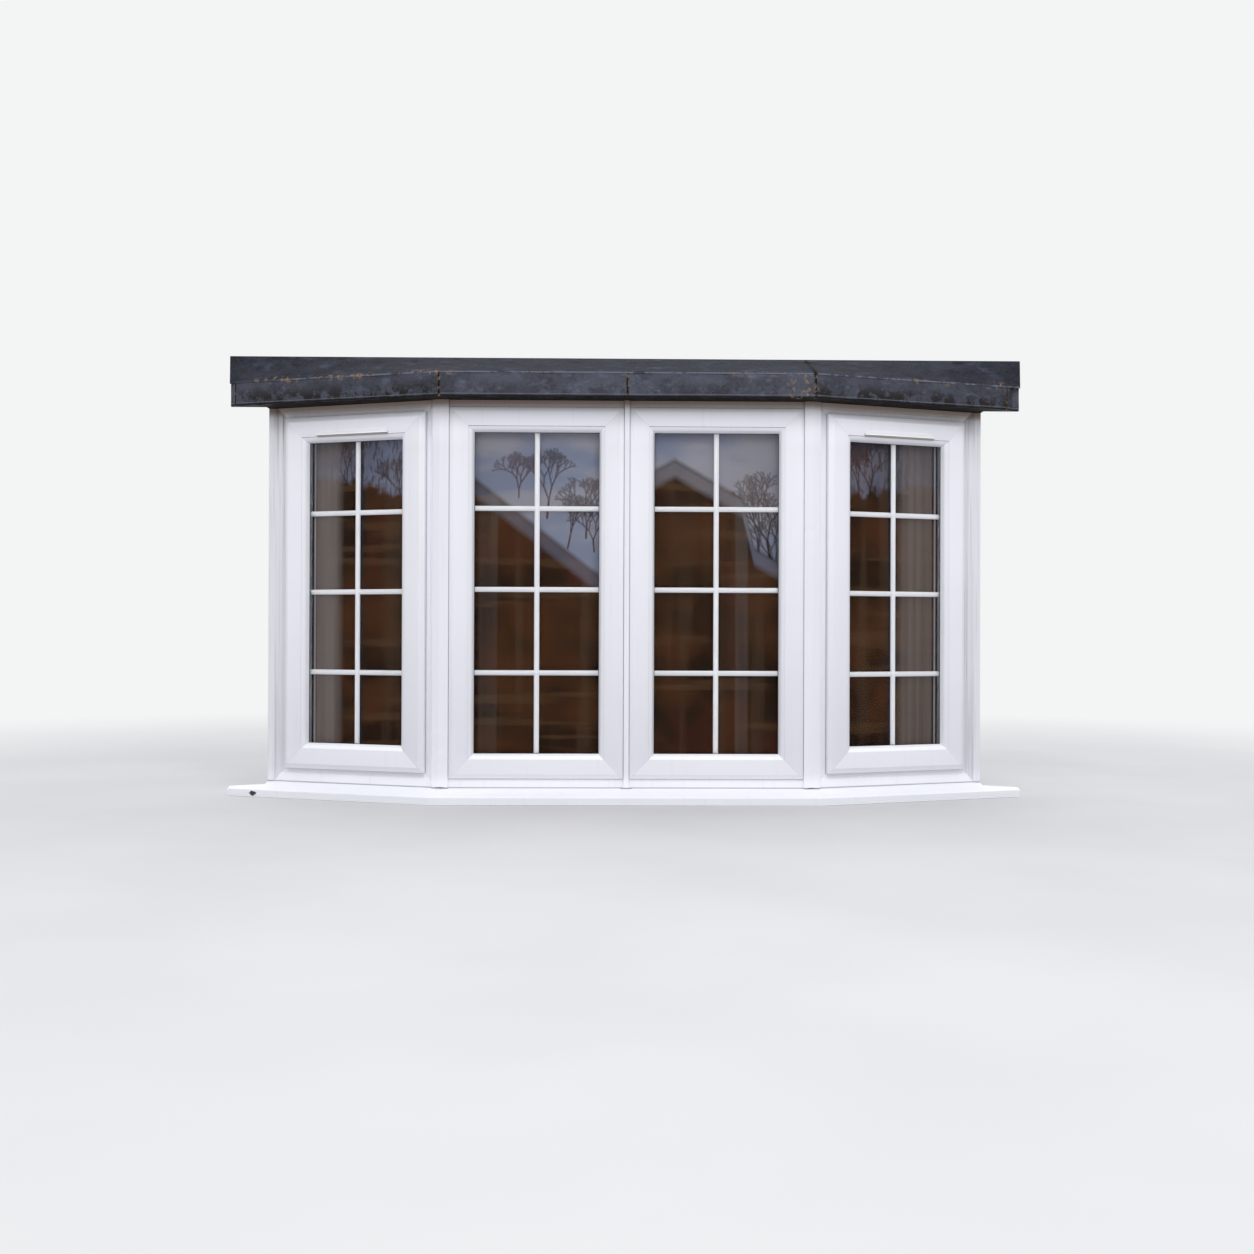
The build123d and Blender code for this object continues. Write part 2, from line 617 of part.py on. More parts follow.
def build():
    """Make every piece and write it to the parts folder."""
    os.makedirs("parts", exist_ok=True)

    side_place = Pos(JAMB_WIDTH + JAMB_FACE, 0, RAIL_FACE)
    centre_place = Pos(CENTRE_FACE_POST, 0, CENTRE_FACE_BOTTOM)
    side_sash = sash(SIDE_SASH_WIDTH, SIDE_SASH_HEIGHT, SASH_BORDER, SASH_PROUD,
                     SASH_CHAMFER, SASH_CHAMFER_FALL, STRIP_DEPTH)
    centre_sash = sash(CENTRE_SASH_WIDTH, CENTRE_SASH_HEIGHT, FIXED_BORDER, FIXED_PROUD,
                       FIXED_CHAMFER, FIXED_CHAMFER_FALL, 0)

    pairs = {
        "frame_left": on_side(side_frame()),
        "frame_centre_left": on_centre_left(centre_frame()),
        "sash_left": on_side(side_place * side_sash),
        "sash_centre_left": on_centre_left(centre_place * centre_sash),
        "bay_post_left": bay_post(),
        "post_cover_left": post_cover(),
        "jamb_piece_left": jamb_piece(),
        "sill_left": sill_left(),
        "sill_end_cap_left": sill_cap(),
        "fascia_centre_left": fascia_centre(),
        "vent_hood_left": on_side(vent_hood()),
        "handle_left": on_side(handle()),
    }
    for node, shape in pairs.items():
        save(node, [shape])
        save(node.replace("left", "right"), [mirrored(shape)])

    spacers = []
    seals = []
    beads = []
    lights = {
        "left": (on_side, side_place,
                 glazing(SIDE_SASH_WIDTH, SIDE_SASH_HEIGHT, SASH_BORDER, SASH_PROUD)),
        "centre_left": (on_centre_left, centre_place,
                        glazing(CENTRE_SASH_WIDTH, CENTRE_SASH_HEIGHT, FIXED_BORDER, FIXED_PROUD)),
    }
    for name, (carry, place, pieces) in lights.items():
        panes = [carry(place * pane) for pane in pieces["panes"]]
        spacer = carry(place * pieces["spacer"])
        seal = carry(place * pieces["seal"])
        bead = carry(place * pieces["bead"])
        save("glass_" + name, panes)
        save("glass_" + name.replace("left", "right"), [mirrored(pane) for pane in panes])
        spacers += [spacer, mirrored(spacer)]
        seals += [seal, mirrored(seal)]
        beads += [bead, mirrored(bead)]
    save("unit_spacers", spacers)
    save("glazing_gaskets", seals)
    save("inside_beads", beads)

    save("coupler", [coupler()])
    save("coupler_cover", [coupler_cover()])
    save("sill_centre", [sill_centre()])
    save("base_board", [base_board()])
    save("head_board", [head_board()])
    save("fascia_left", [fascia_side(LEFT_RETURN)])
    save("fascia_right", [mirrored(fascia_side(RIGHT_RETURN))])
    save("canopy_return_left", [canopy_return(LEFT_RETURN, LEFT_RETURN_FLAT)])
    save("canopy_return_right", [mirrored(canopy_return(RIGHT_RETURN, RIGHT_RETURN_FLAT))])
    save("soffit_board", [soffit_board()])
    save("canopy_deck", [canopy_deck()])
    save("canopy_lead_left", [lead_slope() + lead_front()])
    save("canopy_lead_right", [mirrored(lead_slope())])


build()
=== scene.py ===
"""Finishes for a shallow four-light bay window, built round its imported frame.

Sizes are millimetres, as on the window's own drawing, and go to metres when a mesh is made.
Seen from outside, X runs to the right, Y inward and Z up.
"""

from math import atan2, cos, hypot, inf, pi, radians, sin, tan

import bmesh
import bpy
import numpy as np
from bpy.props import FloatProperty, FloatVectorProperty, PointerProperty
from mathutils import Matrix, Vector


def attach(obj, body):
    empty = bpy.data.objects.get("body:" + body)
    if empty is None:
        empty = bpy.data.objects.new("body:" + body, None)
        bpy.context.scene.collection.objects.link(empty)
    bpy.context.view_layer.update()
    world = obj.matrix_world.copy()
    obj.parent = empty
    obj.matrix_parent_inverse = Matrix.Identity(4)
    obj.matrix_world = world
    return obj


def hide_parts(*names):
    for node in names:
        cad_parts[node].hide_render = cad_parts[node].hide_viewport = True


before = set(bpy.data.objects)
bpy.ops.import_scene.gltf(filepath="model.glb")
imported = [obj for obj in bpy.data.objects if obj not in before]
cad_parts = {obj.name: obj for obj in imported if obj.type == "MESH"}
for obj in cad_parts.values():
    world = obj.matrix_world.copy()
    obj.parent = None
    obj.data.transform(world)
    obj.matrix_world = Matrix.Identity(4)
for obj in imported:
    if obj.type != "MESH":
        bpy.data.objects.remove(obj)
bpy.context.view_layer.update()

bl_info = {
    "name": "Bay Window Finishes",
    "version": (1, 0, 0),
    "blender": (4, 5, 0),
    "location": "3D View > Sidebar > Bay Window",
    "description": "Welded sashes, sealed units, lead canopy and finishes for a bay window",
    "category": "Object",
}

MM = 0.001

# Plan and height of the bay
JAMB_X = 1100.0
CORNER_X = 552.0
POST_TO_CENTRE = 14.0
BAY_PROJECTION = 190.0
WALL_SETBACK = 38.0
SILL_TOP = 39.0
FRAME_HEIGHT = 1155.0
FRAME_TOP = SILL_TOP + FRAME_HEIGHT
SIDE_LENGTH = hypot(JAMB_X - CORNER_X, BAY_PROJECTION)
SIDE_ANGLE = atan2(BAY_PROJECTION, JAMB_X - CORNER_X)

# Outer frames
FRAME_DEPTH = 60.0
STOP_FRONT = 42.0
STOP_WIDTH = 10.0
SASH_OVERLAP = 8.5
SASH_BODY = 10.0
SASH_BACK = 56.0
STRIP_WIDTH = 17.0
STRIP_DEPTH = 3.0

# Sashes, as (left, bottom, right, top) of the outer edge in the plane of each light, with the
# faces of the outer frame left, right, below and above it
SIDE_LIGHT = {
    "sash": (62.0, 43.0, SIDE_LENGTH - 45.5, FRAME_HEIGHT - 43.0),
    "faces": (42.0, 29.5, 43.0, 43.0),
    "border": 78.0,
    "proud": 17.5,
    "chamfer": 15.0,
    "fall": 8.5,
    "seat": STRIP_DEPTH,
    "crossbars": (0.236, 0.503, 0.765),
}
CENTRE_LIGHT = {
    "sash": (14.5, 28.5, 528.5, FRAME_HEIGHT - 31.0),
    "faces": (14.5, 7.5, 28.5, 31.0),
    "border": 72.0,
    "proud": 8.0,
    "chamfer": 12.0,
    "fall": 4.0,
    "seat": 0.0,
    "crossbars": (0.251, 0.511, 0.764),
}

# Rows of a welded ring near each mitre, as shares of the seam's half width
SEAM_SHARES = (0.0, 0.4, 1.0)
SIDE_ROWS = 2 * len(SEAM_SHARES) - 1

# Section of the sashes
BEAD_SLOPE_WIDTH = 16.5
BEAD_SLOPE_DEPTH = 20.0
BEAD_NOSE_WIDTH = 5.0
BEAD_STEP = 9.0
BEAD_SINK = 1.3
CREASE = 1.2
LIP = 2.0
SHADOW_WIDTH = 3.0
SHADOW_DEPTH = 2.0

# Sealed units
GASKET = 2.0
GASKET_LIP = 1.5
PANE = 4.0
CAVITY = 16.0
EDGE_COVER = 13.0
REBATE_CLEARANCE = 1.0
SPACER_WIDTH = 10.0
BEAD_NOSE = 4.0
BEAD_TOP = 4.0
GROUND_EDGE = 0.6
BAR_ROUNDNESS = 2.15
CROSSBAR_SHARE = 0.985
# Strength of the painted shade towards the sides of the upright bar
UPRIGHT_DIM = 0.7

# Cover strips
POST_TO_SIDE = 16.0
COVER_SIDE_LAP = 6.0
COVER_GAP = 1.5
COVER_PROUD = 7.0
COUPLER_COVER_WIDTH = 15.5
COUPLER_COVER_PROUD = 8.0
COVER_FOOT_WIDTH = 34.0
COVER_FOOT_HEIGHT = 10.0
COVER_STEP = 3.0
ARCH_HEIGHT = 4.5
FOOT_LINE_HEIGHT = 1.5
SILL_SLOPE = 16.0 / 96.0

# Canopy
FASCIA_CORNER_X = CORNER_X - 4.5
FASCIA_REACH = 72.5
SOFFIT_Z = FRAME_TOP - 10.0
FASCIA_TOP = SOFFIT_Z + 73.5
WALL_LINE_Z = FASCIA_TOP + 82.0
CANOPY_END_X = JAMB_X + 106.0
CANOPY_END_REACH = 22.0
FASCIA_THICKNESS = 20.0
FASCIA_JOINT = 1.0
LEFT_RETURN = 17.0
LEFT_RETURN_FLAT = 4.0
RIGHT_RETURN = 43.0
RIGHT_RETURN_FLAT = 20.0
RETURN_EDGE = 12.0
LEAD = 3.0
LEAD_DRIP = 6.0
LEAD_END_LAP = 6.0
LEAD_END_CUT = 5.0
LEAD_STEP = 10.0
LEAD_ROWS = 16
LEAD_OVERHANG = 0.3
LEAD_SHOULDER = 0.6
HEM_BULGE = 0.2
HEM_RISE = 0.7
HEM_SHARES = (0.35, 0.7, 1.0)
LEAD_JOINT_LINE = 2.5
FASCIA_STEP = 9.0
FASCIA_END_STEPS = (2.4, 4.0)
FASCIA_DROP = 1.5
FASCIA_FRONT = 6.0
FASCIA_FOOT = 16.0
FASCIA_END_LINE = 1.6
FASCIA_OUTLINE_STEP = 6.0
RETURN_ROWS = 14
RETURN_OUTLINE_STEP = 5.0
RETURN_TOP_LINE = 11.0
RETURN_SOFTNESS = 3.0

# Unevenness: gain of a sum of waves, longest waves of the fascia, the end pieces and the lead,
# how far from the end of a fascia its dents die away, how they are squeezed in height and set
# back behind its plane, and the shares of the small dents and of the uneven foot
WAVE_GAIN = 1.8
DENT_WAVE = 210.0
SMALL_DENT_WAVE = 48.0
FOOT_WAVE = 90.0
RETURN_WAVE = 60.0
LEAD_WAVE = 180.0
HEM_WAVE = 120.0
DENT_FADE = 14.0
DENT_SQUEEZE = 1.6
DENT_SETBACK = 0.6
SMALL_DENTS = 0.45
UNEVEN_FOOT = 0.9

# Height over which the white frames are painted with shade under the soffit
SOFFIT_SHADOW_REACH = 48.0

# Vent hoods
HOOD_LENGTH = 242.0
HOOD_HEIGHT = 17.0
HOOD_PROUD = 10.0
HOOD_LIP = 1.5
HOOD_LEAN = 10.0
HOOD_ABOVE_GLASS = 19.0
HOOD_EDGE = 0.4
HOOD_CURVE = 2.2
HOOD_ROWS = 14
# Painted shadow line under a hood's lip, and the painted highlight of the lip: its fall in height
# and its least share
HOOD_SHADOW_LINE = 4.0
HOOD_LIT_FALL = 3.0
HOOD_LEAST_LIT = 0.31
SASH_MIDDLE = (SIDE_LIGHT["sash"][0] + SIDE_LIGHT["sash"][2]) / 2
VENT_MIDDLE = JAMB_X - SASH_MIDDLE * cos(SIDE_ANGLE) + SIDE_LIGHT["proud"] * sin(SIDE_ANGLE)
VENT_HALF = HOOD_LENGTH / 2 * cos(SIDE_ANGLE)

# What each light mirrors, on its glass: x from the edge towards the jamb or post, z from below.
# A pale field lies over a line of (x, z) points, strongest at the second of two levels; forking
# lines stand in it as (x, z, heading, length), and a band, if it has a level, follows its line.
# An upright veil is given as (from, to, level).
BACKDROP = (0.90, 0.905, 0.91, 1.0)
MIRRORED = {
    "left": {
        "edge": ((0.0, 800.0), (200.0, 770.0), (395.0, 690.0)),
        "levels": (0.30, 0.95),
        "forks": ((300.0, 690.0, 0.05, 44.0), (120.0, 740.0, -0.1, 42.0),
                  (372.0, 700.0, 0.1, 26.0)),
        "veil": (9.0, 108.0, 0.88),
        "band": 0.0,
    },
    "centre_left": {
        "edge": ((0.0, 803.0), (343.0, 537.0), (370.0, 520.0)),
        "levels": (0.85, 1.0),
        "forks": ((214.0, 700.0, 0.1, 44.0), (330.0, 640.0, 0.05, 42.0), (276.0, 610.0, 0.2, 36.0),
                  (130.0, 760.0, 0.0, 32.0), (355.0, 600.0, -0.1, 34.0)),
        "veil": (8.0, 70.0, 0.14),
        "band": 0.30,
    },
    "centre_right": {
        "edge": ((0.0, 560.0), (70.0, 600.0), (106.0, 747.0), (308.0, 863.0), (370.0, 830.0)),
        "levels": (0.80, 1.0),
        "forks": ((20.0, 560.0, 0.15, 66.0), (58.0, 540.0, 0.0, 54.0), (4.0, 520.0, 0.1, 46.0)),
        "veil": (86.0, 130.0, 0.22),
        "band": 0.42,
    },
    "right": {
        "edge": ((0.0, 780.0), (180.0, 760.0), (395.0, 730.0)),
        "levels": (0.15, 0.60),
        "forks": ((304.0, 730.0, 0.0, 46.0), (352.0, 720.0, 0.0, 50.0), (232.0, 730.0, 0.05, 48.0),
                  (270.0, 740.0, 0.1, 36.0), (385.0, 700.0, -0.1, 42.0)),
        "veil": (14.0, 150.0, 0.68),
        "band": 0.0,
    },
}
GLASS_STEP = 3.0
FIELD_RISE = 24.0

# Forking lines: levels, then what each length and half width is of the one before, the first and
# least half width, the reach of a mask in half widths, how far it fades and a heading straightens
# per level, and the ranges of the draws
FORK_LEVELS = 8
FORK_SHRINK = 0.80
FORK_THINNING = 0.70
FORK_WIDTH = 0.07
FORK_LEAST = 1.9
FORK_CORE = 1.4
FORK_FADE = 0.93
FORK_STRAIGHTENING = 0.86
FORK_LENGTHS = (0.7, 1.25)
FORK_TURNS = (0.06, 0.56)

# Edges of the veils on the glass, and lines on a side pane as (place, half width): a painted
# reflection beside the bar, and a dark and a pale line along the rim
VEIL_FADE = 5.0
SLANT_FADE = 30.0
BAR_REFLECTION = (9.0, 5.0)
EDGE_DARK = (-2.0, 2.5)
EDGE_PALE = (6.0, 2.5)

# Strengths on the bottom, right, top and left of a ring: painted shade and a painted shadow line in
# the crease of a sash, painted light on the slope and a dim flat on its bottom rail, and the
# painted shadow line where a frame meets the sash
CREASE_SHADE = (0.0, 0.35, 3.5, 0.35)
CREASE_SHADOW_LINE = (0.2, 0.3, 3.6, 0.3)
SLOPE_LIT = (0.7, 0.0, 0.0, 0.0)
FLAT_DIM = (1.0, 0.0, 0.0, 0.0)
SIDE_MEETING = (1.2, 2.6, 1.2, 1.2)
CENTRE_MEETING = (0.7, 0.6, 0.5, 0.6)

# Chip in the nose of the left horn of the sill, and the pitch of the sill's fine ridges
CHIP_X = -1124.0
CHIP_Z = 11.0
RIDGE_PITCH = 4.5

# Shades of a white part beside its own colour: painted light, darker where dim, and a painted
# highlight on a vent hood
PAINTED_LIT = 1.12
DIMMED = 0.91
HOOD_HIGHLIGHT = 1.30

# Colours of wear and of painted shade on the white parts, as linear values
RAIN_STREAK = (0.42, 0.40, 0.36, 1.0)
DUST_SPECK = (0.30, 0.27, 0.22, 1.0)
SOIL_AND_SHADE_GREY = (0.36, 0.34, 0.35, 1.0)
SOIL_AND_SHADE_RUN = (0.22, 0.17, 0.13, 1.0)
SEAM_AND_SHADOW_LINE = (0.13, 0.12, 0.125, 1.0)
SOFFIT_SHADOW_FAR = (0.24, 0.18, 0.15, 1.0)
SOFFIT_SHADOW_NEAR = (0.17, 0.105, 0.06, 1.0)
HOOD_SHADOW = (0.33, 0.265, 0.22, 1.0)
FOOT_LINE = (0.16, 0.155, 0.16, 1.0)
CHIP_DARK = (0.035, 0.030, 0.030, 1.0)

# Colours in the glass, as linear values: what lies deep in it, what it mirrors, and its rims, the
# dark one also the painted reflection beside a bar
DEEP_RED = (0.075, 0.018, 0.010, 1.0)
LEVEL_BAND = (0.105, 0.053, 0.022, 1.0)
UPRIGHT_STRIPE = (0.12, 0.078, 0.045, 1.0)
VEIL_GREY = (0.24, 0.205, 0.19, 1.0)
MIRROR_DARK = (0.26, 0.295, 0.41, 1.0)
RIM_DARK = (0.030, 0.034, 0.050, 1.0)
RIM_PALE = (0.46, 0.47, 0.52, 1.0)
INNER_FACE = (0.035, 0.042, 0.048, 1.0)
BLACK = (0.0, 0.0, 0.0, 1.0)

# Colours on the lead, as linear values, a painted shadow at its foot among them, and the tint of
# its bloom
LEAD_SPECK = (0.24, 0.24, 0.26, 1.0)
DRIP_SHADOW = (0.006, 0.005, 0.006, 1.0)
BLOOM_TINT = (0.94, 1.02, 1.14)

# Lamps: place and target in metres, width of the square in metres, and power
KEY_LAMP = ((0.35, -3.35, 4.4), (0.0, 0.0, 0.5), 2.6, 80.0)
FILL_LAMP = ((0.6, -4.6, 1.6), (0.0, 0.0, 0.6), 2.4, 8.0)

# Camera of the photograph: its place, its focal length for a 36 mm sensor and its turns
CAMERA_PLACE = (-58.1, -4178.0, 500.5)
CAMERA_LENS = 38.756
CAMERA_YAW = 0.01493
CAMERA_PITCH = 0.00374
CAMERA_ROLL = 0.00353


# Properties that a user may change

def size_setting(name, description, default, least, most):
    """A size in millimetres."""
    return FloatProperty(name=name, description=description, default=default, min=least, max=most)


def colour_setting(name, description, default):
    """A colour as linear values."""
    return FloatVectorProperty(name=name, description=description, subtype="COLOR",
                               default=default, min=0.0, max=1.0)


class BaySizes(bpy.types.PropertyGroup):
    """Sizes of the details that are worked on the frame."""

    seam_width: size_setting(
        "Seam width", "Half width of the groove along a welded mitre", 1.1, 0.2, 4.0)
    seam_depth: size_setting(
        "Seam depth", "Depth of the groove along a welded mitre", 0.45, 0.0, 2.0)
    bar_width: size_setting(
        "Bar width", "Width of the bars between the panes", 15.5, 8.0, 30.0)
    bar_thickness: size_setting(
        "Bar thickness", "Thickness of the bars between the panes", 11.0, 4.0, 14.0)
    lead_wave: size_setting(
        "Lead wave", "Height of the waves dressed into the lead", 0.9, 0.0, 3.0)
    fascia_dents: size_setting(
        "Fascia dents", "Depth of the dents in the fascia", 0.8, 0.0, 3.0)


class BayColours(bpy.types.PropertyGroup):
    """Colours of the finishes, as linear values."""

    vinyl: colour_setting(
        "Vinyl", "White of the welded profiles", (0.77, 0.775, 0.82))
    cover: colour_setting(
        "Cover", "White of the cover strips", (0.772, 0.777, 0.822))
    sill: colour_setting(
        "Sill", "White of the sill", (0.80, 0.81, 0.85))
    bar: colour_setting(
        "Glazing bar", "White of the bars between the panes", (0.95, 0.96, 1.0))
    lead: colour_setting(
        "Lead", "Slate grey of the weathered lead", (0.069, 0.073, 0.096))
    lead_stain: colour_setting(
        "Lead stain", "Brown black of the stains on the lead", (0.020, 0.017, 0.016))
    lichen: colour_setting(
        "Lichen", "Ochre of the lichen along the laps", (0.26, 0.165, 0.085))
    deep: colour_setting(
        "Deep glass", "Dark brown of the glass where it mirrors nothing", (0.052, 0.018, 0.005))
    mirror: colour_setting(
        "Mirroring glass", "Grey blue of the glass where it mirrors the light", (0.40, 0.40, 0.46))
    side_mirror: colour_setting(
        "Mirroring side glass", "Slate blue of the side glass where it mirrors the light",
        (0.28, 0.325, 0.47))


# Shapes on grids of points

def rounded(corners, steps=4):
    """Closed outline through (u, v) or (u, v, radius) corners, with arcs at the rounded ones.

    An arc touches both edges at radius / tan(half the angle) from the corner. Its points are the
    centre plus a blend of the two end radii by sin((1 - t) turn) and sin(t turn) over sin(turn).
    """
    table = np.array([(*corner, 0.0)[:3] for corner in corners], float)
    points = table[:, :2]
    radii = table[:, 2:]
    before = np.roll(points, 1, axis=0) - points
    after = np.roll(points, -1, axis=0) - points
    before /= np.linalg.norm(before, axis=1, keepdims=True)
    after /= np.linalg.norm(after, axis=1, keepdims=True)
    half = np.arccos(np.clip((before * after).sum(axis=1, keepdims=True), -1, 1)) / 2
    middle = before + after
    middle /= np.maximum(np.linalg.norm(middle, axis=1, keepdims=True), 1e-9)
    centre = points + middle * radii / np.sin(half)
    start = points + before * radii / np.tan(half) - centre
    end = points + after * radii / np.tan(half) - centre
    turn = (pi - 2 * half)[..., None]
    t = np.linspace(0, 1, steps + 1)[None, :, None]
    blend = np.sin((1 - t) * turn) * start[:, None] + np.sin(t * turn) * end[:, None]
    arcs = centre[:, None] + blend / np.maximum(np.sin(turn), 1e-9)
    parts = [arcs[i] if radii[i, 0] > 0 else points[i:i + 1] for i in range(len(points))]
    return np.concatenate(parts)


def divided(outline, longest):
    """The same closed outline with its long edges cut into equal steps no longer than asked."""
    ends = np.roll(outline, -1, axis=0)
    counts = np.ceil(np.linalg.norm(ends - outline, axis=1) / longest).astype(int).clip(1)
    parts = [a + (b - a) * np.linspace(0, 1, n, endpoint=False)[:, None]
             for a, b, n in zip(outline, ends, counts)]
    return np.concatenate(parts)


def grid_faces(rows, columns, closed_rows=False):
    """Quads between neighbouring rows of a grid whose columns are wrapped round."""
    r = np.arange(rows if closed_rows else rows - 1)[:, None]
    c = np.arange(columns)[None, :]
    r_next = (r + 1) % rows
    c_next = (c + 1) % columns
    quads = [r * columns + c, r_next * columns + c, r_next * columns + c_next, r * columns + c_next]
    return np.stack(quads, axis=-1).reshape(-1, 4).tolist()


def tube(grid, closed=False):
    """Shell over a grid of (row, outline point, xyz), its ends closed unless it is a loop."""
    rows, columns = grid.shape[:2]
    faces = grid_faces(rows, columns, closed)
    if not closed:
        faces.append(list(range(columns)))
        faces.append(list(range((rows - 1) * columns, rows * columns)))
    # Each mask starts blank, zero at every point
    painted_light = np.zeros(rows * columns)
    return {"points": grid.reshape(-1, 3), "faces": faces, "seam_and_shadow": painted_light, "soil": painted_light}


def joined(shells):
    """Several shells as one, their faces numbered on from each other."""
    points = []
    faces = []
    first = 0
    for shell in shells:
        points.append(shell["points"])
        faces += [[first + index for index in face] for face in shell["faces"]]
        first += len(shell["points"])
    masks = {name: np.concatenate([shell[name] for shell in shells])
             for name in masks_of(shells[0])}
    return {"points": np.concatenate(points), "faces": faces, **masks}


def masks_of(shell):
    """Names of the masks that a shell carries on its points."""
    return [name for name in shell if name not in ("points", "faces")]


def mitred_ring(rect, profile, sizes, limits=(inf, inf, inf, inf)):
    """Welded ring: a profile of (outward from the rectangle, depth) carried round it.

    A profile point stands outward from the rectangle's corner along both axes, each distance cut
    off at the limit of that side. Rows at set distances from a mitre sink by the seam depth times
    (1 - distance / seam width), and the seam mask has the same shape.
    """
    left, bottom, right, top = rect
    out, depth = profile.T
    x_low = left - np.minimum(out, limits[0])
    x_high = right + np.minimum(out, limits[1])
    z_low = bottom - np.minimum(out, limits[2])
    z_high = top + np.minimum(out, limits[3])
    corners = np.stack([
        np.stack([x_low, depth, z_low], axis=-1),
        np.stack([x_high, depth, z_low], axis=-1),
        np.stack([x_high, depth, z_high], axis=-1),
        np.stack([x_low, depth, z_high], axis=-1)])[:, None]
    ends = np.roll(corners, -1, axis=0)
    along = ends - corners
    along /= np.linalg.norm(along, axis=-1, keepdims=True)
    steps = np.array(SEAM_SHARES) * sizes.seam_width
    near = corners + along * steps[None, :, None, None]
    far = ends - along * steps[None, :0:-1, None, None]
    rows = np.concatenate([near, far], axis=1)
    weights = 1 - np.concatenate([steps, steps[:0:-1]]) / sizes.seam_width
    rows[..., 1] += sizes.seam_depth * weights[None, :, None]
    seam_and_shadow = np.broadcast_to(weights[None, :, None], rows.shape[:3])
    shell = tube(rows.reshape(-1, len(profile), 3), closed=True)
    shell["seam_and_shadow"] = seam_and_shadow.reshape(-1)
    return shell


def extruded(outline, start, end, axes):
    """Straight bar: an outline whose (u, v) lie along two axes, carried from start to end."""
    section = np.zeros((len(outline), 3))
    section[:, axes[0]] = outline[:, 0]
    section[:, axes[1]] = outline[:, 1]
    ends = np.array([start, end], float)
    return tube(section[None] + ends[:, None])


def waves(x, z, seed, longest, count=7):
    """Smooth unevenness between about -1 and 1: a sum of sines of random heading and phase.

    Wave lengths run from the longest down to a quarter of it, and shorter waves are lower.
    """
    random = np.random.default_rng(seed)
    heading = random.uniform(0, pi, count)
    phase = random.uniform(0, 2 * pi, count)
    length = longest * np.linspace(1.0, 0.25, count)
    height = length / length.sum()
    total = np.zeros(np.broadcast(x, z).shape)
    for k in range(count):
        run = x * cos(heading[k]) + z * sin(heading[k])
        total = total + height[k] * np.sin(2 * pi * run / length[k] + phase[k])
    return total * WAVE_GAIN


# Placing shapes in the bay

def on_side(points):
    """Turn points drawn along +X, their face on y = 0, into the plane of the left side light."""
    x, y, z = np.moveaxis(points, -1, 0)
    turned_x = x * cos(SIDE_ANGLE) + y * sin(SIDE_ANGLE) - JAMB_X
    turned_y = y * cos(SIDE_ANGLE) - x * sin(SIDE_ANGLE)
    return np.stack([turned_x, turned_y, z + SILL_TOP], axis=-1)


def on_centre(points):
    """Move points drawn along +X, their face on y = 0, to the left centre light."""
    return points + np.array([POST_TO_CENTRE - CORNER_X, -BAY_PROJECTION, SILL_TOP])


def mirrored(points):
    """The same points on the other side of the middle."""
    return points * np.array([-1.0, 1.0, 1.0])


LIGHTS = {
    "left": (SIDE_LIGHT, on_side, False),
    "centre_left": (CENTRE_LIGHT, on_centre, False),
    "centre_right": (CENTRE_LIGHT, on_centre, True),
    "right": (SIDE_LIGHT, on_side, True),
}


def placed(shell, carry=None, flip=False):
    """A shell carried to its light, and mirrored for the right half."""
    points = carry(shell["points"]) if carry else shell["points"]
    return {**shell, "points": mirrored(points) if flip else points}


def side_point(along, inward):
    """Plan point of the left side: distance from the jamb, and depth behind its face."""
    return on_side(np.array([along, inward, 0.0]))[:2]


def corner_point(inward):
    """Plan point on the mitre of the left corner, a given depth behind both faces."""
    return np.array([-CORNER_X + inward * tan(SIDE_ANGLE / 2), -BAY_PROJECTION + inward])


def add_piece(name, shell, material, replaces=(), sharp=32.0):
    """Make one object of a shell, turn its faces outward, and ride it on the frame."""
    mesh = bpy.data.meshes.new(name)
    mesh.from_pydata((shell["points"] * MM).tolist(), [], shell["faces"])
    for mask in masks_of(shell):
        layer = mesh.attributes.new(mask, "FLOAT", "POINT")
        layer.data.foreach_set("value", np.ascontiguousarray(shell[mask], np.float32))
    work = bmesh.new()
    work.from_mesh(mesh)
    bmesh.ops.recalc_face_normals(work, faces=work.faces)
    work.to_mesh(mesh)
    work.free()
    mesh.shade_smooth()
    mesh.set_sharp_from_angle(angle=radians(sharp))
    mesh.materials.append(material)
    piece = bpy.data.objects.new(name, mesh)
    bpy.context.scene.collection.objects.link(piece)
    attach(piece, "root")
    if replaces:
        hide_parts(*replaces)
    return piece


def finish_nodes(finish, *nodes):
    """Give frame nodes one of the finishes."""
    for name in nodes:
        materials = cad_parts[name].data.materials
        materials.clear()
        materials.append(finish_of(finish))


# Shader groups

def mask_group(name, inputs, nodes, links):
    """Shader group with one output, Mask, built once from tables of its parts.

    An input is (label, kind, value), a node is (kind, settings, input values), and a link is
    (node, output, node, input), where the group's own ends are called source and result.
    """
    if name in bpy.data.node_groups:
        return bpy.data.node_groups[name]
    group = bpy.data.node_groups.new(name, "ShaderNodeTree")
    for label, kind, value in inputs:
        socket = group.interface.new_socket(label, in_out="INPUT", socket_type="NodeSocket" + kind)
        if value is not None:
            socket.default_value = value
    group.interface.new_socket("Mask", in_out="OUTPUT", socket_type="NodeSocketFloat")
    made = {"source": group.nodes.new("NodeGroupInput"),
            "result": group.nodes.new("NodeGroupOutput")}
    for label, (kind, settings, values) in nodes.items():
        made[label] = group.nodes.new("ShaderNode" + kind)
        for setting, value in settings.items():
            setattr(made[label], setting, value)
        for socket, value in values.items():
            made[label].inputs[socket].default_value = value
    for start, output, end, entry in links:
        group.links.new(made[start].outputs[output], made[end].inputs[entry])
    return group


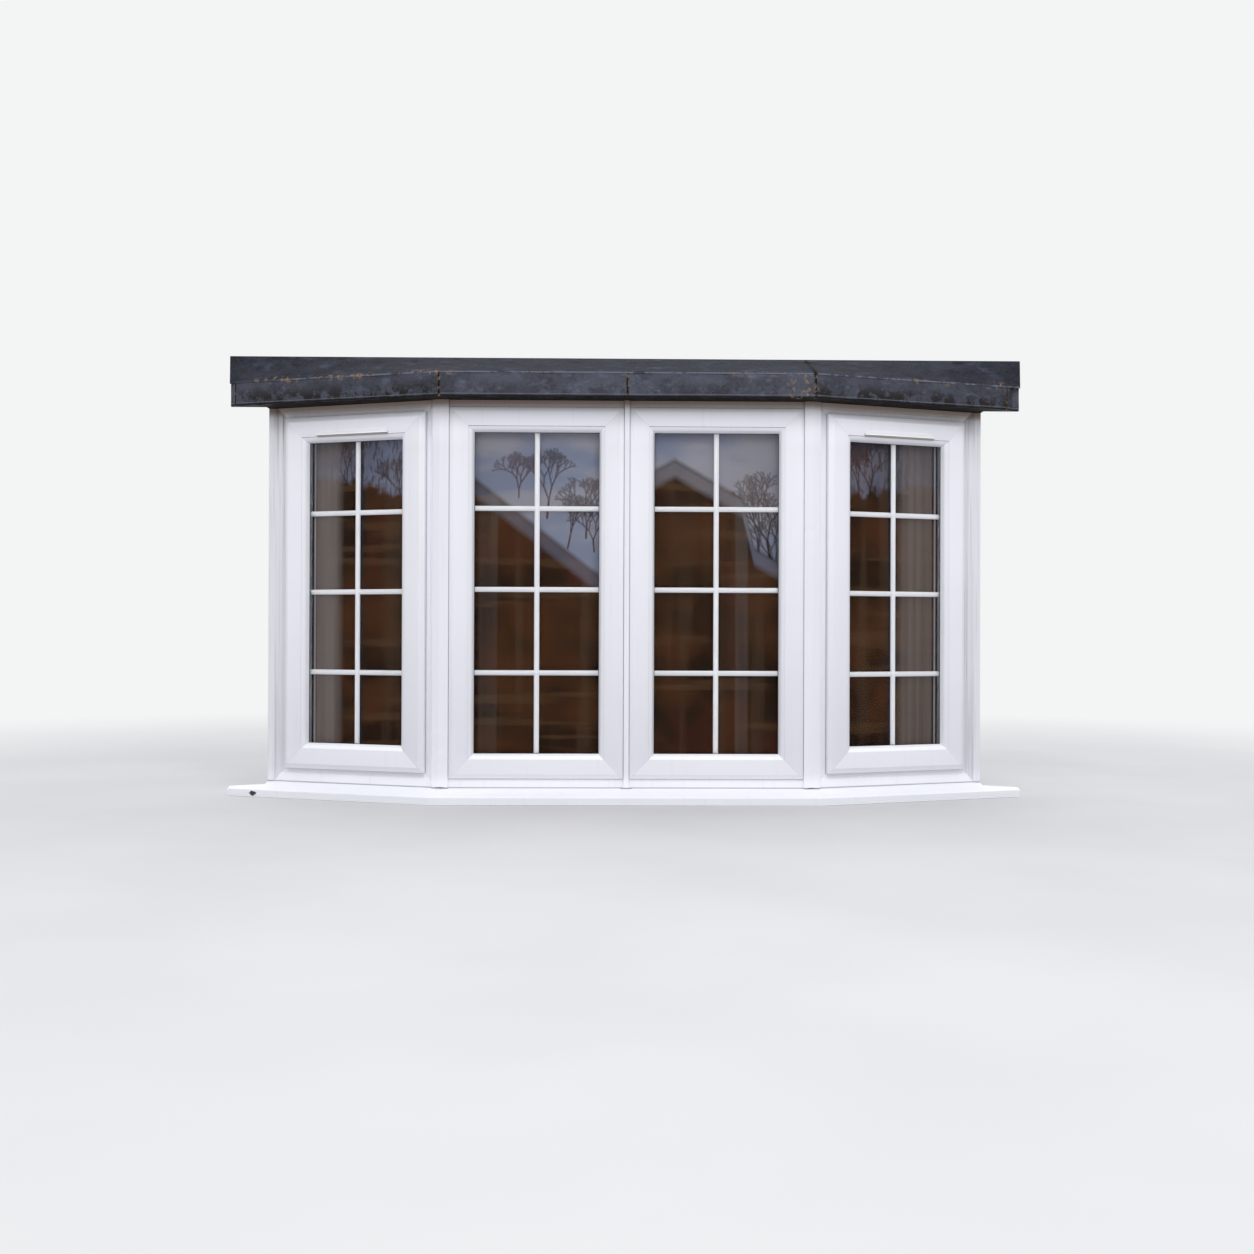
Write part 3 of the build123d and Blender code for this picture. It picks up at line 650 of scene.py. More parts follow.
def mottle_group():
    """Soft patches: noise of a given scale and stretch, cut between a low and a high value."""
    return mask_group("Mottle", [
        ("Vector", "Vector", None),
        ("Stretch", "Vector", (1.0, 1.0, 1.0)),
        ("Scale", "Float", 5.0),
        ("Detail", "Float", 4.0),
        ("Roughness", "Float", 0.5),
        ("Low", "Float", 0.4),
        ("High", "Float", 0.7),
    ], {
        "stretch": ("VectorMath", {"operation": "MULTIPLY"}, {}),
        "noise": ("TexNoise", {}, {}),
        "cut": ("MapRange", {"interpolation_type": "SMOOTHSTEP"}, {}),
    }, [
        ("source", "Vector", "stretch", 0),
        ("source", "Stretch", "stretch", 1),
        ("stretch", 0, "noise", "Vector"),
        ("source", "Scale", "noise", "Scale"),
        ("source", "Detail", "noise", "Detail"),
        ("source", "Roughness", "noise", "Roughness"),
        ("noise", "Fac", "cut", "Value"),
        ("source", "Low", "cut", "From Min"),
        ("source", "High", "cut", "From Max"),
        ("cut", "Result", "result", "Mask"),
    ])


def speck_group():
    """Small specks: round dots about cell centres, kept where a coarse noise is under an amount."""
    return mask_group("Specks", [
        ("Vector", "Vector", None),
        ("Scale", "Float", 200.0),
        ("Size", "Float", 0.25),
        ("Patch Scale", "Float", 12.0),
        ("Amount", "Float", 0.5),
    ], {
        "cells": ("TexVoronoi", {}, {}),
        "dot": ("MapRange", {}, {"To Min": 1.0, "To Max": 0.0}),
        "noise": ("TexNoise", {}, {}),
        "less": ("Math", {"operation": "LESS_THAN"}, {}),
        "keep": ("Math", {"operation": "MULTIPLY"}, {}),
    }, [
        ("source", "Vector", "cells", "Vector"),
        ("source", "Scale", "cells", "Scale"),
        ("cells", "Distance", "dot", "Value"),
        ("source", "Size", "dot", "From Max"),
        ("source", "Vector", "noise", "Vector"),
        ("source", "Patch Scale", "noise", "Scale"),
        ("noise", "Fac", "less", 0),
        ("source", "Amount", "less", 1),
        ("dot", "Result", "keep", 0),
        ("less", 0, "keep", 1),
        ("keep", 0, "result", "Mask"),
    ])


def band_group():
    """Soft band along one coordinate: 1 at a place, falling smoothly to 0 at a reach from it."""
    return mask_group("Band", [
        ("Value", "Float", 0.0),
        ("Place", "Float", 0.0),
        ("Reach", "Float", 0.01),
    ], {
        "away": ("Math", {"operation": "SUBTRACT"}, {}),
        "size": ("Math", {"operation": "ABSOLUTE"}, {}),
        "fall": ("MapRange", {"interpolation_type": "SMOOTHSTEP"}, {"To Min": 1.0, "To Max": 0.0}),
    }, [
        ("source", "Value", "away", 0),
        ("source", "Place", "away", 1),
        ("away", 0, "size", 0),
        ("size", 0, "fall", "Value"),
        ("source", "Reach", "fall", "From Max"),
        ("fall", "Result", "result", "Mask"),
    ])


class Finish:
    """One material with its principled shader, and short ways to add and link nodes."""

    def __init__(self, name, **plain):
        self.material = bpy.data.materials.new("bay_" + name)
        self.material.use_nodes = True
        self.tree = self.material.node_tree
        self.shader = self.tree.nodes["Principled BSDF"]
        for socket, value in plain.items():
            self.shader.inputs[socket.replace("_", " ")].default_value = value
        self.place = self.node("TexCoord").outputs["Object"]

    def node(self, kind, **settings):
        """A new shader node of a kind, with its settings."""
        node = self.tree.nodes.new("ShaderNode" + kind)
        for setting, value in settings.items():
            setattr(node, setting, value)
        return node

    def link(self, output, target):
        """Join an output to an input."""
        self.tree.links.new(output, target)

    def feed(self, node, inputs):
        """Give each input of a node its value, by a link where that is a socket."""
        for socket, value in inputs.items():
            target = node.inputs[socket]
            if isinstance(value, bpy.types.NodeSocket):
                self.link(value, target)
            else:
                target.default_value = value

    def group(self, group, **inputs):
        """Mask of a shader group, which reads Object coordinates if it has a vector."""
        node = self.node("Group", node_tree=group)
        values = {key.replace("_", " "): value for key, value in inputs.items()}
        self.feed(node, {"Vector": self.place, **values} if "Vector" in node.inputs else values)
        return node.outputs[0]

    def mottle(self, **inputs):
        """Mask of soft patches."""
        return self.group(mottle_group(), **inputs)

    def specks(self, **inputs):
        """Mask of small dots."""
        return self.group(speck_group(), **inputs)

    def band(self, value, place, reach):
        """Mask of a soft band: its place on a coordinate and its reach are in millimetres."""
        return self.group(band_group(), Value=value, Place=place * MM, Reach=reach * MM)

    def mask(self, name):
        """Mask that the mesh carries on its points."""
        return self.node("Attribute", attribute_name=name).outputs["Fac"]

    def axis(self, name):
        """Object coordinate X, Y or Z, in metres."""
        node = self.node("SeparateXYZ")
        self.link(self.place, node.inputs[0])
        return node.outputs[name]

    def facing_out(self):
        """One where the surface faces the front, none where it faces the back."""
        split = self.node("SeparateXYZ")
        self.link(self.node("NewGeometry").outputs["Normal"], split.inputs[0])
        return self.ramp(split.outputs["Y"], -0.3, 0.1, 1.0, 0.0)

    def math(self, operation, a, b=0.0):
        """Result of one Math node."""
        node = self.node("Math", operation=operation)
        self.feed(node, {0: a, 1: b})
        return node.outputs[0]

    def product(self, *values):
        """All the values multiplied together."""
        total, *rest = values
        for value in rest:
            total = self.math("MULTIPLY", total, value)
        return total

    def ramp(self, value, low, high, to_low, to_high):
        """Smooth step from one level where the value is low to another where it is high."""
        node = self.node("MapRange", interpolation_type="SMOOTHSTEP")
        self.feed(node, {"Value": value, "From Min": low, "From Max": high,
                         "To Min": to_low, "To Max": to_high})
        return node.outputs["Result"]

    def fade(self, value, low, high, to_low, to_high):
        """Ramp along a coordinate, between two places in millimetres."""
        return self.ramp(value, low * MM, high * MM, to_low, to_high)

    def blend(self, mask, a, b):
        """Colour a where the mask is 0 and b where it is 1."""
        node = self.node("Mix", data_type="RGBA")
        self.feed(node, {0: mask, 6: a, 7: b})
        return node.outputs[2]

    def lay(self, under, over, *masks):
        """One colour laid over another, as far as the product of the masks goes."""
        return self.blend(self.product(*masks), under, over)

    def colour(self, output):
        """Link the base colour."""
        self.link(output, self.shader.inputs["Base Color"])

    def roughness(self, output):
        """Link the roughness."""
        self.link(output, self.shader.inputs["Roughness"])

    def bump(self, height, distance, strength=1.0):
        """Link a bump of a height mask, its full depth given in metres."""
        node = self.node("Bump")
        self.feed(node, {"Distance": distance, "Strength": strength, "Height": height})
        self.link(node.outputs["Normal"], self.shader.inputs["Normal"])


def shade(colour, factor):
    """A colour made darker or lighter by one factor, as a four-part value."""
    return (*[min(channel * factor, 1.0) for channel in colour], 1.0)


def white_finish(name, colour, roughness=0.33, ridges=False, soiled=0.0, bright=PAINTED_LIT):
    """Satin white vinyl: faint cloudiness, rain streaks, soiled joints, painted light, and painted
    shade at joints and the top edge.
    """
    finish = Finish(name, Roughness=roughness, Specular_IOR_Level=0.35)
    height = finish.axis("Z")
    cloud = finish.mottle(Scale=3.0, Detail=3.0, Low=0.35, High=0.65)
    tone = finish.blend(cloud, shade(colour, 1.0), shade(colour, 0.975))
    if not ridges:
        # Painted light: the white is brighter low down by the sill and in a band under the soffit
        lit_low = finish.fade(height, SILL_TOP + 8.0, SILL_TOP + 50.0, 1.0, 0.0)
        lit_high = finish.band(height, SOFFIT_Z - 75.0, 75.0)
        tone = finish.lay(tone, shade(colour, PAINTED_LIT), finish.math("MAXIMUM", lit_low, lit_high))
    # Painted light where the mesh marks it: the slope of a bottom bead, the post side of a side
    # frame and a hood's lip
    tone = finish.lay(tone, shade(colour, bright), finish.mask("painted_light"))
    # Darker where the mesh marks it dim: painted shade on the glazing bars, and the flat of a
    # bottom rail
    tone = finish.lay(tone, shade(colour, DIMMED), finish.mask("dim"))
    tone = soil_and_shade_tone(finish, tone, height, soiled)
    tone = soffit_shadow_tone(finish, tone, height)
    tone = hood_shadow_tone(finish, tone, height)
    if ridges:
        tone = chipped_tone(finish, tone, height)
        line = finish.math("SINE", finish.product(height, 2 * pi / (RIDGE_PITCH * MM)))
        grain = finish.product(line, 3.0)
    else:
        tone = finish.lay(tone, FOOT_LINE, finish.band(height, SILL_TOP, 4.6), 0.8)
        grain = finish.mottle(Scale=420.0, Detail=2.0, Low=0.2, High=0.8)
    finish.colour(tone)
    finish.roughness(finish.ramp(cloud, 0.0, 1.0, roughness - 0.04, roughness + 0.07))
    finish.bump(grain, 0.00004)
    return finish.material


def soil_and_shade_tone(finish, tone, height, soiled):
    """A white tone with rain streaks, specks, soil with painted shade that runs down from the
    soffit, and seams with painted shadow lines.
    """
    streak = finish.mottle(Stretch=(55.0, 55.0, 2.2), Scale=1.0, Detail=5.0, Low=0.55, High=0.78)
    grime = finish.mottle(Stretch=(160.0, 160.0, 3.0), Scale=1.0, Detail=5.0, Low=0.45, High=0.70)
    speck = finish.specks(Scale=90.0, Size=0.09, Patch_Scale=9.0, Amount=0.46)
    # Dirt and painted shade: this mask also holds the shade in creases and by the jamb
    soil = finish.math("MAXIMUM", finish.mask("soil"), soiled)
    run = finish.fade(height, SOFFIT_Z - 170.0, SOFFIT_Z, 0.0, 0.75)
    tone = finish.lay(tone, RAIN_STREAK, streak, 0.08)
    tone = finish.lay(tone, DUST_SPECK, speck, 0.3)
    tone = finish.lay(tone, SOIL_AND_SHADE_GREY, soil, finish.ramp(grime, 0.0, 1.0, 0.20, 0.42))
    tone = finish.lay(tone, SOIL_AND_SHADE_RUN, grime, soil, run)
    # Seam lines: weld seams and joints, and painted shadow lines in creases, gaps and under the
    # hoods
    return finish.lay(tone, SEAM_AND_SHADOW_LINE, finish.mask("seam_and_shadow"), 0.22)


def soffit_shadow_tone(finish, tone, height):
    """A white tone with painted brown shade under the soffit: a wide faint band, then a deep one.
    """
    far = finish.fade(height, SOFFIT_Z - SOFFIT_SHADOW_REACH, SOFFIT_Z, 0.0, 0.50)
    near = finish.fade(height, SOFFIT_Z - 31.0, SOFFIT_Z - 6.0, 0.0, 0.76)
    return finish.lay(finish.lay(tone, SOFFIT_SHADOW_FAR, far), SOFFIT_SHADOW_NEAR, near)


def hood_shadow_tone(finish, tone, height):
    """A white tone with a painted brown shadow under each vent hood, on front faces without painted
    light.
    """
    hood_z = SILL_TOP + SIDE_LIGHT["sash"][3] - SIDE_LIGHT["border"] + HOOD_ABOVE_GLASS
    under = finish.band(height, hood_z - 2.6, 4.8)
    from_middle = finish.math("ABSOLUTE", finish.axis("X"))
    beside = finish.math("ABSOLUTE", finish.math("SUBTRACT", from_middle, VENT_MIDDLE * MM))
    within = finish.fade(beside, VENT_HALF - 3.0, VENT_HALF, 0.75, 0.0)
    unlit = finish.ramp(finish.mask("painted_light"), 0.0, 0.3, 1.0, 0.0)
    return finish.lay(tone, HOOD_SHADOW, within, finish.facing_out(), unlit, under)


def chipped_tone(finish, tone, height):
    """A sill tone with one dark chip: a ragged spot round its middle, wider than it is high."""
    ragged = finish.mottle(Scale=150.0, Detail=3.0, Low=0.35, High=0.65)
    above = finish.product(finish.math("SUBTRACT", height, CHIP_Z * MM), 1.5)
    beside = finish.math("SUBTRACT", finish.axis("X"), CHIP_X * MM)
    reach = finish.math("ADD", finish.product(above, above), finish.product(beside, beside))
    reach = finish.math("ADD", finish.math("SQRT", reach), finish.product(ragged, 0.004))
    return finish.lay(tone, CHIP_DARK, finish.ramp(reach, 0.011, 0.014, 1.0, 0.0))


def gasket_finish(name):
    """Dull black rubber with a bloom of dust."""
    finish = Finish(name, Roughness=0.62)
    dust = finish.mottle(Scale=60.0, Detail=4.0, Low=0.45, High=0.75)
    finish.colour(finish.blend(dust, (0.012, 0.012, 0.013, 1.0), (0.05, 0.05, 0.05, 1.0)))
    finish.bump(finish.mottle(Scale=900.0, Detail=2.0, Low=0.3, High=0.7), 0.00005)
    return finish.material


def spacer_finish(name):
    """Mill-finish spacer with a row of fine breathing holes."""
    finish = Finish(name, Metallic=0.55, Roughness=0.42)
    tone = finish.mottle(Scale=30.0, Detail=3.0, Low=0.35, High=0.7)
    hole = finish.specks(Scale=260.0, Size=0.22, Patch_Scale=1.0, Amount=1.0)
    metal = finish.blend(tone, (0.42, 0.45, 0.50, 1.0), (0.55, 0.57, 0.61, 1.0))
    finish.colour(finish.lay(metal, (0.10, 0.10, 0.11, 1.0), hole, 0.5))
    finish.bump(hole, 0.0001, 0.4)
    return finish.material


def outer_glass_finish(name):
    """Clear float glass with a trace of dust."""
    finish = Finish(name, Transmission_Weight=1.0, IOR=1.1, Roughness=0.0)
    dust = finish.mottle(Scale=7.0, Detail=5.0, Low=0.45, High=0.85)
    finish.colour(finish.blend(dust, (1.0, 1.0, 1.0, 1.0), (0.97, 0.975, 0.98, 1.0)))
    finish.bump(finish.mottle(Scale=2.2, Detail=1.0, Low=0.2, High=0.8), 0.0004, 0.25)
    return finish.material


def inner_glass_finish(name, colours, light_tone, dark_tone):
    """Dark glass: uneven brown, a grey blue mirrored field, pale upright veils, rim lines and a
    painted reflection beside the upright bar.

    It is opaque from outside and nearly clear from inside: the mask of the outer face less
    Backfacing is 1 or -1 only for a ray going inward, and alpha rises with its size. Is Diffuse
    Ray takes it back, so that scattered light reaches the bars from behind.
    """
    finish = Finish(name, IOR=1.3, Roughness=0.35, Specular_IOR_Level=0.08)
    cloud = finish.mottle(Stretch=(0.6, 0.6, 1.6), Scale=5.0, Detail=5.0, Low=0.40, High=0.62)
    fleck = finish.mottle(Stretch=(3.0, 3.0, 0.9), Scale=34.0, Detail=6.0, Roughness=0.6,
                          Low=0.50, High=0.58)
    mirror = finish.mask("mirror")
    field = finish.product(mirror, finish.ramp(fleck, 0.0, 1.0, 1.0, 0.45))
    field = finish.blend(finish.mask("flecked"), mirror, field)
    tone = finish.lay(deep_tone(finish, colours), finish.blend(cloud, light_tone, dark_tone), field)
    tone = finish.lay(tone, RIM_DARK, finish.mask("shade"))
    tone = finish.lay(tone, RIM_PALE, finish.mask("pale"))
    outside = finish.mask("outside")
    finish.colour(finish.blend(outside, INNER_FACE, finish.blend(0.24, tone, BLACK)))
    turned = finish.node("NewGeometry").outputs["Backfacing"]
    scattered = finish.node("LightPath").outputs["Is Diffuse Ray"]
    met = finish.math("ABSOLUTE", finish.math("SUBTRACT", outside, turned))
    met = finish.math("SUBTRACT", met, scattered)
    finish.link(finish.ramp(met, 0.0, 1.0, 0.22, 1.0), finish.shader.inputs["Alpha"])
    return finish.material


def deep_tone(finish, colours):
    """What shows deep in the glass: brown patches, level bands, stripes and ribbed veils."""
    patch = finish.mottle(Stretch=(1.0, 1.0, 1.3), Scale=5.5, Detail=6.0, Low=0.38, High=0.62)
    red = finish.mottle(Stretch=(1.4, 1.4, 0.7), Scale=4.0, Detail=3.0, Low=0.55, High=0.66)
    level = finish.mottle(Stretch=(0.6, 0.6, 8.0), Scale=3.2, Detail=4.0, Low=0.54, High=0.64)
    stripe = finish.mottle(Stretch=(12.0, 12.0, 0.5), Scale=1.6, Detail=3.0, Low=0.48, High=0.66)
    rib = finish.mottle(Stretch=(40.0, 40.0, 0.5), Scale=1.6, Detail=3.0, Low=0.25, High=0.7)
    tone = finish.blend(patch, shade(colours.deep, 0.42), shade(colours.deep, 1.35))
    tone = finish.lay(tone, DEEP_RED, red, 0.5)
    tone = finish.lay(tone, LEVEL_BAND, level, 0.55)
    tone = finish.lay(tone, UPRIGHT_STRIPE, stripe, 0.30)
    return finish.lay(tone, VEIL_GREY, finish.mask("veil"), finish.ramp(rib, 0.0, 1.0, 0.72, 1.0))


def lead_finish(name, colours, level, stained=1.0, edged=0.0):
    """Weathered lead: slate tone, pale bloom, brown black stains low down, lichen and specks."""
    finish = Finish(name, Roughness=0.6, Specular_IOR_Level=0.12 * edged + 0.02)
    height = finish.axis("Z")
    slate = finish.mottle(Stretch=(1.0, 1.0, 1.6), Scale=9.0, Detail=8.0, Roughness=0.62,
                          Low=0.38, High=0.62)
    stain = finish.mottle(Stretch=(1.0, 1.0, 0.9), Scale=17.0, Detail=10.0, Roughness=0.76,
                          Low=0.478, High=0.512)
    low = finish.fade(height, SOFFIT_Z + 12.0, SOFFIT_Z + 60.0, 1.0, 0.0)
    stain = finish.product(stain, low, stained)
    speck = finish.specks(Scale=110.0, Size=0.22, Patch_Scale=22.0, Amount=0.42)
    # The level scales the slate: painted shade by how the face is lit
    tone = slate_tone(finish, colours, slate, height, level)
    tone = finish.lay(tone, shade(colours.lead_stain, 0.8), stain)
    tone = finish.lay(tone, LEAD_SPECK, speck, 0.45)
    # Painted shade on the slanting face of the right end piece
    tone = finish.lay(tone, shade(colours.lead_stain, 1.0), finish.mask("shade"))
    tone = hemmed_tone(finish, colours, tone, height, edged)
    finish.colour(lichen_tone(finish, colours, tone, height, edged))
    finish.roughness(finish.ramp(slate, 0.0, 1.0, 0.52, 0.74))
    rough = finish.mottle(Scale=120.0, Detail=8.0, Low=0.25, High=0.8)
    wrinkle = finish.mottle(Stretch=(1.6, 1.0, 3.2), Scale=18.0, Detail=4.0, Low=0.2, High=0.8)
    relief = finish.math("ADD", finish.product(rough, 0.35), wrinkle)
    finish.bump(finish.math("ADD", relief, finish.product(stain, 0.3)), 0.0011, 0.9)
    return finish.material


def slate_tone(finish, colours, slate, height, level):
    """Slate grey with grit, a bluish bloom, and dark scuffs below the wall line."""
    bloom = finish.mottle(Stretch=(1.0, 1.0, 2.0), Scale=15.0, Detail=9.0, Roughness=0.66,
                          Low=0.52, High=0.68)
    grit = finish.mottle(Scale=120.0, Detail=5.0, Roughness=0.7, Low=0.35, High=0.65)
    scuff = finish.mottle(Stretch=(0.7, 1.0, 2.4), Scale=16.0, Detail=10.0, Roughness=0.68,
                          Low=0.55, High=0.63)
    aloft = finish.band(height, WALL_LINE_Z - 18.0, 50.0)
    blue = [channel * tint for channel, tint in zip(colours.lead, BLOOM_TINT)]
    tone = finish.blend(slate, shade(colours.lead, 0.62 * level), shade(colours.lead, 1.16 * level))
    tone = finish.lay(tone, shade(colours.lead, 1.5 * level), grit, 0.35)
    tone = finish.lay(tone, shade(blue, 2.0 * level), bloom, 0.62)
    return finish.lay(tone, shade(colours.lead_stain, 0.7), aloft, 0.75, scuff)


def hemmed_tone(finish, colours, tone, height, edged):
    """A lead tone with a worn pale hem at the lap, partly a painted highlight, a painted highlight
    on the fold low down and a painted shadow along the drip edge.
    """
    worn = finish.mottle(Scale=26.0, Detail=5.0, Roughness=0.7, Low=0.36, High=0.52)
    hem = finish.band(height, FASCIA_TOP - 3.5, 4.5)
    hem = finish.product(hem, finish.ramp(worn, 0.0, 1.0, 0.25, 1.0))
    hem = finish.product(hem, finish.fade(finish.axis("X"), -1100.0, -1000.0, 0.2, 1.0))
    # Only the lead sheets carry the hem, marked by a mask of ones
    tone = finish.lay(tone, shade(colours.lead, 2.0), hem, finish.mask("soil"))
    tone = finish.lay(tone, shade(colours.lead, 2.2), finish.band(height, SOFFIT_Z + 7.0, 2.2),
                      edged * 0.6)
    return finish.lay(tone, DRIP_SHADOW, finish.band(height, SOFFIT_Z, 8.0), edged)


def lichen_tone(finish, colours, tone, height, edged):
    """A lead tone with lichen: spots along the lap and by the right joint, crumbs in the seams."""
    across = finish.axis("X")
    clump = finish.mottle(Scale=5.0, Detail=3.0, Low=0.50, High=0.64)
    spots = finish.mottle(Scale=62.0, Detail=5.0, Roughness=0.7, Low=0.54, High=0.59)
    crumb = finish.mottle(Scale=80.0, Detail=4.0, Low=0.50, High=0.60)
    grown = finish.math("MAXIMUM", clump, finish.band(across, -1030.0, 160.0))
    grown = finish.product(finish.band(height, FASCIA_TOP - 3.0, 17.0), grown)
    right_joint = finish.product(finish.band(across, 510.0, 75.0), 0.8 * edged)
    grown = finish.math("MAXIMUM", grown, right_joint)
    joint = finish.lay(shade(colours.lead_stain, 0.45), shade(colours.lichen, 0.8),
                       crumb, 0.8 * edged)
    tone = finish.lay(tone, shade(colours.lichen, 1.0), spots, grown, 0.9)
    # The seams hold joints, and on the end pieces a painted shadow under the lead's edge
    return finish.lay(tone, joint, finish.mask("seam_and_shadow"))


def timber_finish(name, pale, dark, stretch):
    """Bare wood: rings drawn out along the grain, with fine pores."""
    finish = Finish(name, Roughness=0.7)
    grain = finish.mottle(Stretch=stretch, Scale=14.0, Detail=7.0, Low=0.35, High=0.68)
    pores = finish.mottle(Stretch=stretch, Scale=90.0, Detail=3.0, Low=0.52, High=0.7)
    wood = finish.blend(grain, shade(pale, 1.0), shade(dark, 1.0))
    finish.colour(finish.lay(wood, shade(dark, 0.55), pores, 0.45))
    finish.bump(grain, 0.0003, 0.6)
    return finish.material


def soffit_finish(name):
    """Dark painted board, its paint a little worn."""
    finish = Finish(name, Roughness=0.65, Specular_IOR_Level=0.1)
    worn = finish.mottle(Stretch=(0.4, 1.0, 1.0), Scale=30.0, Detail=6.0, Low=0.5, High=0.7)
    finish.colour(finish.blend(worn, (0.010, 0.0085, 0.0085, 1.0), (0.029, 0.022, 0.018, 1.0)))
    finish.bump(worn, 0.0004, 0.6)
    return finish.material


def base_finish(name):
    """Matt white board, greyed in patches."""
    finish = Finish(name, Roughness=0.6)
    patch = finish.mottle(Scale=9.0, Detail=5.0, Low=0.4, High=0.7)
    finish.colour(finish.blend(patch, (0.72, 0.72, 0.71, 1.0), (0.60, 0.59, 0.56, 1.0)))
    finish.bump(finish.mottle(Scale=300.0, Detail=3.0, Low=0.2, High=0.8), 0.0001)
    return finish.material


def finish_of(name):
    """A finish by its name, built once and then shared."""
    colours = bpy.context.scene.bay_colours
    makers = {
        "white_profile": (white_finish, colours.vinyl),
        "white_cover": (white_finish, colours.cover, 0.28),
        "white_sill": (white_finish, colours.sill, 0.33, True),
        "white_hood": (white_finish, colours.vinyl, 0.33, False, 0.0, HOOD_HIGHLIGHT),
        "soiled_jamb": (white_finish, colours.vinyl, 0.33, False, 0.85),
        "white_bar": (white_finish, colours.bar, 0.4),
        "gasket_rubber": (gasket_finish,),
        "spacer_aluminium": (spacer_finish,),
        "outer_glass": (outer_glass_finish,),
        "inner_glass_side": (inner_glass_finish, colours, shade(colours.side_mirror, 1.0),
                             shade(colours.side_mirror, 0.72)),
        "inner_glass_centre": (inner_glass_finish, colours, shade(colours.mirror, 1.0),
                               MIRROR_DARK),
        # The lead is one slate at four levels, a painted shade by how each face is lit: darkest on
        # the sheet that faces the sky, none on the end pieces
        "lead_sheet": (lead_finish, colours, 0.44, 0.5),
        "fascia_side": (lead_finish, colours, 0.73, 1.0, 1.0),
        "return_pale": (lead_finish, colours, 1.0, 0.4, 1.0),
        "fascia_front": (lead_finish, colours, 0.85, 0.45, 1.0),
        "soffit_paint": (soffit_finish,),
        "deck_ply": (timber_finish, (0.50, 0.36, 0.21), (0.36, 0.23, 0.12), (0.5, 4.0, 4.0)),
        "head_timber": (timber_finish, (0.56, 0.40, 0.24), (0.40, 0.26, 0.13), (0.25, 5.0, 5.0)),
        "base_board_white": (base_finish,),
    }
    maker, *values = makers[name]
    return bpy.data.materials.get("bay_" + name) or maker(name, *values)


# Operators, one for each group of pieces

class BAY_OT_stage(bpy.types.Operator):
    """Lay the pale floor, set the soft light and place the camera."""

    bl_idname = "bay.stage"
    bl_label = "Stage"

    def execute(self, context):
        add_floor()
        add_world(context.scene)
        add_lamp("key", *KEY_LAMP)
        fill = add_lamp("fill", *FILL_LAMP)
        fill.visible_transmission = False
        add_camera(context.scene)
        context.scene.view_settings.view_transform = "Standard"
        return {"FINISHED"}


def add_floor():
    """Wide pale disc under the window: rings of points at growing radii, in metres."""
    radii = np.array([0.6, 1.4, 3.0, 7.0, 16.0, 40.0])[:, None]
    turns = np.linspace(0, 2 * pi, 64, endpoint=False)
    x = radii * np.cos(turns)
    y = radii * np.sin(turns)
    rings = np.stack([x, y, np.zeros_like(x)], axis=-1)
    faces = grid_faces(len(radii), len(turns))
    faces.append(list(range(len(turns))))
    mesh = bpy.data.meshes.new("studio_floor")
    mesh.from_pydata(rings.reshape(-1, 3).tolist(), [], faces)
    finish = Finish("studio_floor", Roughness=0.9, Specular_IOR_Level=0.1)
    cloud = finish.mottle(Scale=1.4, Detail=3.0, Low=0.3, High=0.7)
    finish.colour(finish.blend(cloud, (0.53, 0.53, 0.535, 1.0), (0.50, 0.50, 0.51, 1.0)))
    fade_to_white(finish)
    mesh.materials.append(finish.material)
    floor = bpy.data.objects.new("studio_floor", mesh)
    bpy.context.scene.collection.objects.link(floor)


def backdrop_rays(tree):
    """One for the rays that see the plain backdrop: those of the camera, glass and metal."""
    rays = tree.nodes.new("ShaderNodeLightPath")
    seen = rays.outputs["Is Camera Ray"]
    for kind in ("Is Glossy Ray", "Is Transmission Ray"):
        either = tree.nodes.new("ShaderNodeMath")
        either.operation = "MAXIMUM"
        tree.links.new(seen, either.inputs[0])
        tree.links.new(rays.outputs[kind], either.inputs[1])
        seen = either.outputs[0]
    return seen


def fade_to_white(finish):
    """Let the far floor pass into the backdrop for the rays that see it."""
    distance = finish.node("VectorMath", operation="LENGTH")
    finish.link(finish.place, distance.inputs[0])
    far = finish.ramp(distance.outputs["Value"], 1.8, 5.0, 0.0, 1.0)
    glow = finish.node("Emission")
    glow.inputs["Color"].default_value = BACKDROP
    mix = finish.node("MixShader")
    finish.link(finish.product(far, backdrop_rays(finish.tree)), mix.inputs[0])
    finish.link(finish.shader.outputs[0], mix.inputs[1])
    finish.link(glow.outputs[0], mix.inputs[2])
    finish.link(mix.outputs[0], finish.tree.nodes["Material Output"].inputs["Surface"])


def add_world(scene):
    """Overcast light, brighter overhead, and a plain pale backdrop where the camera sees it."""
    world = bpy.data.worlds.new("overcast")
    scene.world = world
    world.use_nodes = True
    tree = world.node_tree
    link = tree.links.new
    background = tree.nodes["Background"]
    background.inputs["Color"].default_value = (0.965, 0.97, 1.0, 1.0)
    place = tree.nodes.new("ShaderNodeTexCoord")
    split = tree.nodes.new("ShaderNodeSeparateXYZ")
    rise = tree.nodes.new("ShaderNodeMapRange")
    levels = {"From Min": -0.1, "From Max": 0.9, "To Min": 0.22, "To Max": 1.66}
    for socket, level in levels.items():
        rise.inputs[socket].default_value = level
    plain = tree.nodes.new("ShaderNodeBackground")
    plain.inputs["Color"].default_value = BACKDROP
    mix = tree.nodes.new("ShaderNodeMixShader")
    link(place.outputs["Generated"], split.inputs[0])
    link(split.outputs["Z"], rise.inputs["Value"])
    link(rise.outputs["Result"], background.inputs["Strength"])
    link(backdrop_rays(tree), mix.inputs[0])
    link(background.outputs[0], mix.inputs[1])
    link(plain.outputs[0], mix.inputs[2])
    link(mix.outputs[0], tree.nodes["World Output"].inputs["Surface"])


